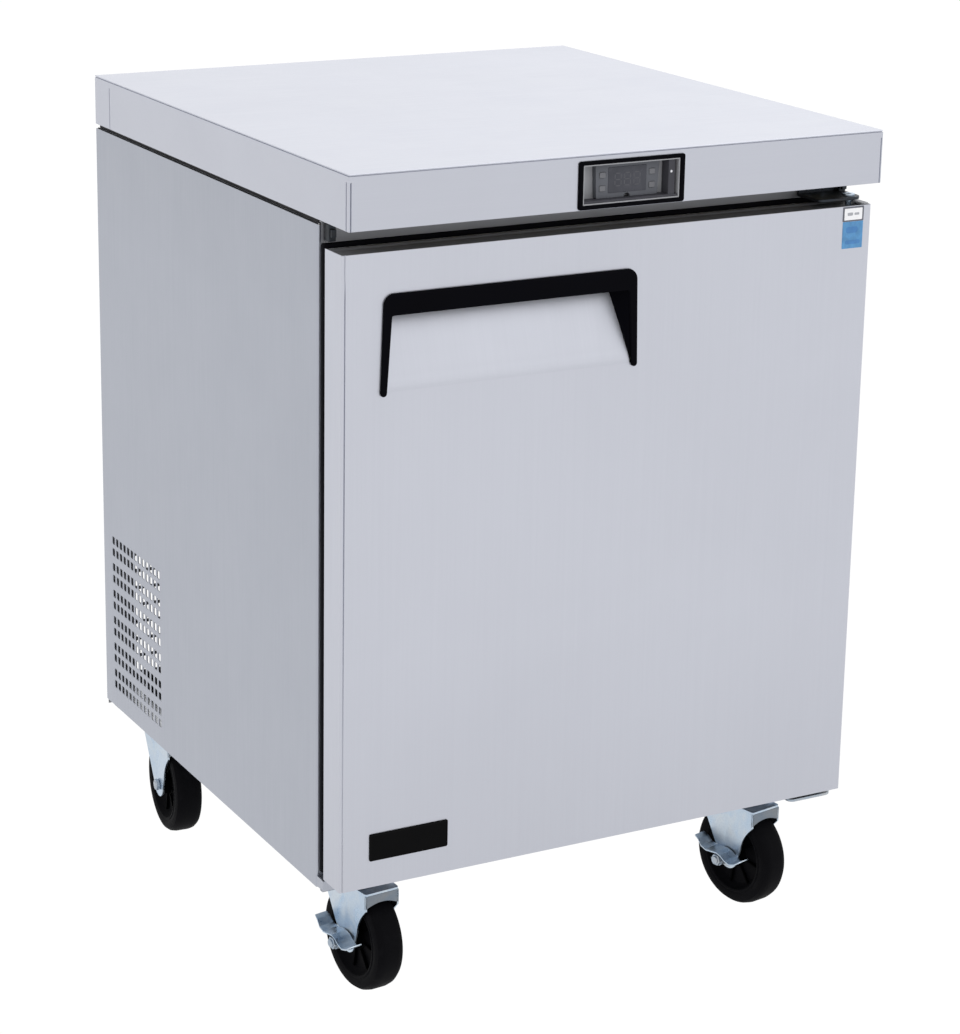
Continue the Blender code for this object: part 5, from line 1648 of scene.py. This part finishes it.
# ---------------------------------------------------------------- casters
def caster_frame(name):
    """A caster's place on the floor, turned to its fork, its pivot, trail and axle height."""
    joints = {j["name"]: j for j in frame["joints"]}
    pivot = Vector(joints[f"swivel_{name}"]["pos_m"])
    axle = Vector(joints[f"wheel_spin_{name}"]["pos_m"])
    offset = axle - pivot
    turn = atan2(offset.x, -offset.y)
    place = Matrix.Translation((pivot.x, pivot.y, 0.0)) @ Matrix.Rotation(turn, 4, "Z")
    return place, pivot, hypot(offset.x, offset.y), axle.z


def make_caster_plate(name, pivot):
    """Top plate with its bolts and washers, a domed race and the kingpin."""
    low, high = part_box(f"caster_plate_{name}")
    centre = (pivot.x, pivot.y, 0.0)
    under = high.z - 0.003
    bm = bmesh.new()
    extrude(bm, rectangle(low.x, high.x, low.y, high.y, 0.007), "Z", under, high.z)
    turned(bm, [(0.0, under - 0.002), (0.0235, under - 0.002), (0.0258, under - 0.0012),
                (0.0262, under + 0.0004), (0.0, under + 0.0004)], centre, "Z", 40)
    piece(f"caster_{name}_plate", bm, zinc, CABINET, "zinc_steel", [f"caster_plate_{name}"],
          bevel=0.0004)
    bm = bmesh.new()
    for x, y in product((-0.03, 0.03), (-0.025, 0.025)):
        at = (pivot.x + x, pivot.y + y, 0.0)
        turned(bm, [(0.0, under - 0.0014), (0.0072, under - 0.0014), (0.0078, under - 0.0008),
                    (0.0078, under - LAY), (0.0, under - LAY)], at, "Z", 24)
        hexagon(bm, at, "Z", 0.01, under - 0.0062, under - 0.0015)
    piece(f"caster_{name}_bolts", bm, zinc_dull, CABINET, "zinc_steel")
    bm = bmesh.new()
    turned(bm, [(0.0, low.z + 0.0012), (0.0045, low.z), (0.0058, low.z + 0.0014),
                (0.0058, under - 0.0021), (0.0, under - 0.0021)], centre, "Z", 24)
    piece(f"caster_{name}_kingpin", bm, zinc_dull, CABINET, "zinc_steel")


FORK_EYE = 0.016                   # radius of the fork legs' round ends


def clamped(value):
    """The value kept between 0 and 1."""
    return min(max(value, 0.0), 1.0)


def leg_edges(z, axle_z, top_z, trail):
    """Front and back edge of a fork leg at a height, about the swivel axis."""
    reach_z, waist_z, front_top, back_top, swell = 0.113, 0.078, -0.074, 0.018, 0.005
    hollow = clamped((z - waist_z) / (reach_z - waist_z)) ** 1.9
    waist = -trail - FORK_EYE - swell * clamped((z - axle_z) / (waist_z - axle_z))
    front = waist + (front_top - waist) * hollow
    foot = FORK_EYE - trail
    back = foot + (back_top - foot) * clamped((z - axle_z) / (top_z - axle_z))
    return front, back


def make_caster_fork(name, place, trail, axle_z):
    """Stamped fork: a long crown with an arched front and a bearing lip, and two creased legs."""
    body = f"swivel_{name}"
    outer, thick, splay, shoulder = 0.0225, 0.0022, 0.1, 0.018
    crown_z, top_z = 0.1319, 0.1343
    crease, under = 0.005 - trail, crown_z - 0.0002
    front_y, back_y = -0.0738, 0.029

    def leg_x(y):
        """Distance of a leg from the middle: it stands out behind the crease."""
        return outer + splay * max(0.0, min(y, shoulder) - crease)

    wide = leg_x(back_y)
    crown = fillet([(-outer, front_y), (outer, front_y), (wide, shoulder), (wide, back_y),
                    (-wide, back_y), (-wide, shoulder)], [0.003, 0.003, 0.0, 0.012, 0.012, 0.0], 6)
    bm = bmesh.new()
    extrude(bm, crown, "Z", crown_z, crown_z + 0.0026)
    turned(bm, [(0.008, crown_z + 0.002), (0.027, crown_z + 0.0022), (0.0285, 0.1386),
                (0.0298, 0.1394), (0.03, 0.1412), (0.029, 0.143), (0.0262, 0.1438),
                (0.008, 0.1438)], (0.0, 0.0, 0.0), "Z", 44)
    piece(f"caster_{name}_crown", bm, zinc, body, "zinc_steel", bevel=0.0005, at=place)
    spans, arch_z, arch_rise = 14, 0.115, 0.0062
    across = [2 * k / spans - 1 for k in range(spans + 1)]
    arch = [(outer * t, arch_z + arch_rise * (1.0 - t ** 2)) for t in across]
    face = front_y - 0.0002
    bm = bmesh.new()
    extrude(bm, arch + [(outer, under), (-outer, under)], "Y", face, face + thick)
    # The arched front wall takes the darker zinc copy: painted shade under the plate.
    piece(f"caster_{name}_front_wall", bm, zinc_painted_shade, body, "zinc_steel", bevel=0.0004, at=place)
    rows, half_columns, end_rows = 22, 6, 6
    columns = 2 * half_columns
    levels = []
    for i in range(end_rows, 0, -1):
        turn = pi / 2 * i / (end_rows + 0.5)
        half = FORK_EYE * cos(turn)
        levels.append((axle_z - FORK_EYE * sin(turn),
                       [-trail - half + 2 * half * j / columns for j in range(columns + 1)]))
    for i in range(rows + 1):
        z = axle_z + (under - axle_z) * i / rows
        front, back = leg_edges(z, axle_z, top_z, trail)
        shares = [j / half_columns for j in range(half_columns + 1)]
        levels.append((z, [front + (crease - front) * t for t in shares]
                       + [crease + (back - crease) * t for t in shares[1:]]))
    bm = bmesh.new()
    for side in (-1, 1):
        grid = [[bm.verts.new((side * leg_x(y), y, z)) for y in ys] for z, ys in levels]
        patch(bm, grid, flipped=side > 0)
    piece(f"caster_{name}_legs", bm, zinc, body, "zinc_steel", [f"caster_fork_{name}"], smooth=4.0,
          thicken=-thick, at=place, bevel=0.0003)
    braked = name.startswith("front")
    axle, nut = (0.0, -trail, axle_z), 0.013
    start, end = (-0.0462 if braked else -0.0282), 0.0282
    bm = bmesh.new()
    turned(bm, [(0.0, start), (0.0046, start), (0.005, start + 0.0008), (0.005, end - 0.0008),
                (0.0046, end), (0.0, end)], axle, "X", 24)
    if braked:
        washer(bm, axle, "X", 0.0051, 0.0082, -0.04, -0.0262)
        hexagon(bm, axle, "X", nut, -0.0445, -0.0401)
    hexagon(bm, axle, "X", nut, outer + 0.0011, outer + 0.005)
    hexagon(bm, axle, "X", nut, -outer - 0.0052, -outer - 0.0006)
    washer(bm, axle, "X", 0.0051, 0.0084, outer + 0.0001, outer + 0.001)
    piece(f"caster_{name}_axle", bm, zinc_dull, body, "zinc_steel", at=place)


def make_caster_wheel(name, place, trail, axle_z):
    """Rubber wheel: crowned tread, raised rims, dished faces with ribs, hub and bearing."""
    node, body = f"caster_wheel_{name}", f"wheel_{name}"
    low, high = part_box(node)
    radius, half, axle = (high.z - low.z) / 2, 0.018, (0.0, -trail, axle_z)
    hub_half, ribs = half + 0.0004, 8

    def both(profile):
        """A profile of one face with its mirror image on the other."""
        return profile + [(r, -x) for r, x in reversed(profile)]

    bm = bmesh.new()
    turned(bm, both([(0.0168, half - 0.01), (0.0185, half - 0.0105), (0.03, half - 0.0112),
                     (0.0385, half - 0.0105), (0.0425, half - 0.007), (0.0442, half - 0.0022),
                     (0.0452, half - 0.0008), (0.0472, half - 0.0003), (0.0486, half - 0.0012),
                     (0.05, half - 0.0006), (radius - 0.0085, half),
                     (radius - 0.004, half - 0.0014), (radius - 0.0012, half - 0.005),
                     (radius, half - 0.0105)]), axle, "X", 72)
    piece(f"caster_{name}_tyre", bm, tyre, body, "caster_rubber", [node], smooth=34.0, at=place)
    bm = bmesh.new()
    turned(bm, both([(0.0086, hub_half), (0.0118, hub_half), (0.013, hub_half - 0.001),
                     (0.014, half - 0.0085), (0.0166, half - 0.0098)]), axle, "X", 40)
    for face, k in product((-1, 1), range(ribs)):
        x0, x1 = sorted((face * (half - 0.0108), face * (half - 0.0072)))
        rib = bmesh.new()
        block(rib, (x0, 0.015, -0.0011), (x1, 0.04, 0.0011))
        rib.transform(Matrix.Translation(axle) @ Matrix.Rotation(2 * pi * k / ribs + 0.15, 4, "X"))
        joined(bm, rib)
    piece(f"caster_{name}_hub", bm, hub_plastic, body, "caster_rubber", at=place, bevel=0.0003)
    bm = bmesh.new()
    for face in (-1, 1):
        washer(bm, axle, "X", 0.0054, 0.0084, face * (hub_half + 0.0001),
               face * (hub_half - 0.005), 32)
    piece(f"caster_{name}_bearing", bm, zinc_dull, body, "zinc_steel", at=place)


def make_brake(name, place, trail, axle_z):
    """Stamped two-winged brake pedal that rocks on the axle's outer end, with its cam plate."""
    body = f"brake_{name}"
    near, far, thick, reach, across = -0.0242, -0.0468, 0.0016, 0.04, 9
    line = [(reach, 0.019), (0.033, 0.0165), (0.026, 0.0105), (0.017, 0.008),
            (0.008, 0.009), (0.0, 0.0102), (-0.008, 0.0088), (-0.016, 0.005),
            (-0.025, 0.003), (-0.033, 0.005), (-reach, 0.01)]
    bm = bmesh.new()
    grid = []
    for y, z in fillet(line, 0.004, 3, closed=False):
        wing = abs(y) / reach               # 0 over the axle, 1 at a wing's tip
        x0 = near - 0.0035 * max(0.0, wing - 0.25)
        x1 = far + 0.0105 * max(0.0, wing - 0.55) ** 1.2 + 0.003 * (1 - wing)
        droop = 0.0016 * (1 - wing * 0.4)
        shares = [j / across for j in range(across + 1)]
        grid.append([bm.verts.new((x0 + (x1 - x0) * t, y - trail, axle_z + z - droop * t ** 2))
                     for t in shares])
    patch(bm, grid)
    piece(f"caster_{name}_brake_pedal", bm, zinc, body, "zinc_steel", [f"brake_lever_{name}"],
          smooth=55.0, thicken=-thick, at=place, bevel=0.0003)
    cam, steps = [], 36
    for k in range(steps):
        angle = 2 * pi * k / steps
        r = 0.0125 if sin(angle) > 0.55 else 0.014
        cam.append((r * cos(angle) - trail, axle_z + 0.92 * r * sin(angle)))
    bm = bmesh.new()
    extrude(bm, cam, "X", near - 0.0016, near + 0.0004)
    piece(f"caster_{name}_brake_cam", bm, zinc_dull, body, "zinc_steel", at=place)


def make_casters():
    """Four swivel casters, the front two with brakes."""
    for name in ("front_left", "front_right", "rear_left", "rear_right"):
        place, pivot, trail, axle_z = caster_frame(name)
        make_caster_plate(name, pivot)
        make_caster_fork(name, place, trail, axle_z)
        make_caster_wheel(name, place, trail, axle_z)
        if name.startswith("front"):
            make_brake(name, place, trail, axle_z)


def dress_carried_over():
    """Materials for the CAD nodes that stay: the insulation in the body, door and top."""
    for node in ("cabinet_insulation", "door_insulation", "worktop_core"):
        obj = frame["nodes"][node]
        obj.data.materials.clear()
        obj.data.materials.append(foam_yellow)


# ---------------------------------------------------------------- floor, light and camera
def area_light(name, place, target, size, power, colour=(1.0, 1.0, 1.0)):
    """A rectangular softbox that faces its target."""
    light = bpy.data.lights.new(name, "AREA")
    light.shape = "RECTANGLE"
    light.size, light.size_y = size
    light.energy = power
    light.color = colour
    obj = bpy.data.objects.new(name, light)
    bpy.context.scene.collection.objects.link(obj)
    obj.location = place
    obj.rotation_euler = (Vector(target) - Vector(place)).to_track_quat("-Z", "Y").to_euler()


def make_floor():
    """A plain white floor as bright as the surround, clear when it's seen from below."""
    mat = bpy.data.materials.new("floor_white")
    mat.use_nodes = True
    tree = mat.node_tree
    tree.nodes.remove(tree.nodes["Principled BSDF"])
    side = tree.nodes.new("ShaderNodeNewGeometry")
    white = tree.nodes.new("ShaderNodeEmission")
    white.inputs["Color"].default_value = (1.0, 1.0, 1.0, 1.0)
    white.inputs["Strength"].default_value = 1.02
    clear = tree.nodes.new("ShaderNodeBsdfTransparent")
    both = tree.nodes.new("ShaderNodeMixShader")
    tree.links.new(side.outputs["Backfacing"], both.inputs[0])
    tree.links.new(white.outputs[0], both.inputs[1])
    tree.links.new(clear.outputs[0], both.inputs[2])
    tree.links.new(both.outputs[0], tree.nodes["Material Output"].inputs["Surface"])
    half, level = 8.0, -0.001
    mesh = bpy.data.meshes.new("floor")
    mesh.from_pydata([(-half, -half, level), (half, -half, level), (half, half, level),
                      (-half, half, level)], [], [(0, 1, 2, 3)])
    mesh.materials.append(mat)
    floor = bpy.data.objects.new("floor", mesh)
    bpy.context.scene.collection.objects.link(floor)


def make_light():
    """White studio: even below, brighter overhead, with weak softboxes that give pieces form."""
    world = bpy.data.worlds.new("surround")
    bpy.context.scene.world = world
    world.use_nodes = True
    tree = world.node_tree
    background = tree.nodes["Background"]
    direction = tree.nodes.new("ShaderNodeTexCoord")
    split = tree.nodes.new("ShaderNodeSeparateXYZ")
    tree.links.new(direction.outputs["Generated"], split.inputs[0])
    height = ranged(tree, split.outputs["Z"], 0.0, 1.0, -0.02, 0.45)
    across = ranged(tree, split.outputs["X"], 0.16, 0.66, 0.15, 0.75)
    strength = tree.nodes.new("ShaderNodeMath")
    strength.operation = "MULTIPLY_ADD"
    tree.links.new(height, strength.inputs[0])
    tree.links.new(across, strength.inputs[1])
    strength.inputs[2].default_value = 1.02
    background.inputs["Color"].default_value = (1.0, 1.0, 1.0, 1.0)
    tree.links.new(strength.outputs[0], background.inputs["Strength"])
    area_light("key_softbox", (3.4, -2.6, 4.6), (0.0, 0.0, 0.5), (3.0, 3.0), 16.0)
    area_light("top_softbox", (0.4, 1.2, 3.6), (0.0, 0.0, 0.9), (3.0, 2.4), 5.0,
               (0.97, 0.985, 1.0))


def make_camera():
    """Camera at the front left, a little above the worktop, with a small downward shift."""
    camera = bpy.data.cameras.new("camera")
    camera.lens = 97.94
    camera.sensor_width = 36.0
    camera.shift_x = 0.0429
    camera.shift_y = -0.1
    camera.clip_end = 200.0
    obj = bpy.data.objects.new("camera", camera)
    bpy.context.scene.collection.objects.link(obj)
    azimuth, descent, roll = 0.4867, 0.2725, 0.0136
    forward = Vector((sin(azimuth) * cos(descent), cos(azimuth) * cos(descent), -sin(descent)))
    obj.rotation_euler = (forward.to_track_quat("-Z", "Y") @ Matrix.Rotation(roll, 3, "Z")
                          .to_quaternion()).to_euler()
    obj.location = (-1.6139, -2.97, 1.5315)
    bpy.context.scene.camera = obj


make_worktop()
make_side_panel("side_panel_left", -1)
make_side_panel("side_panel_right", 1)
make_back()
make_rear_cover()
make_gland()
make_cabinet_top()
make_machine_bay()
make_top_rail()
make_breaker_frame()
make_base()
make_front_details()
make_door_skin()
make_door_caps()
make_door_liner()
make_gasket()
make_handle()
make_nameplate()
make_labels()
make_hinges()
make_control_frame()
make_control_recess()
make_controller()
make_digits()
make_buttons()
make_inner_liner()
make_shelf("shelf_upper")
make_shelf("shelf_lower")
make_rack("shelf_rack_left", -1)
make_rack("shelf_rack_right", 1)
make_evaporator()
make_compressor()
make_condenser()
make_casters()
dress_carried_over()
make_floor()
make_light()
make_camera()
bpy.context.scene.view_settings.view_transform = "Standard"
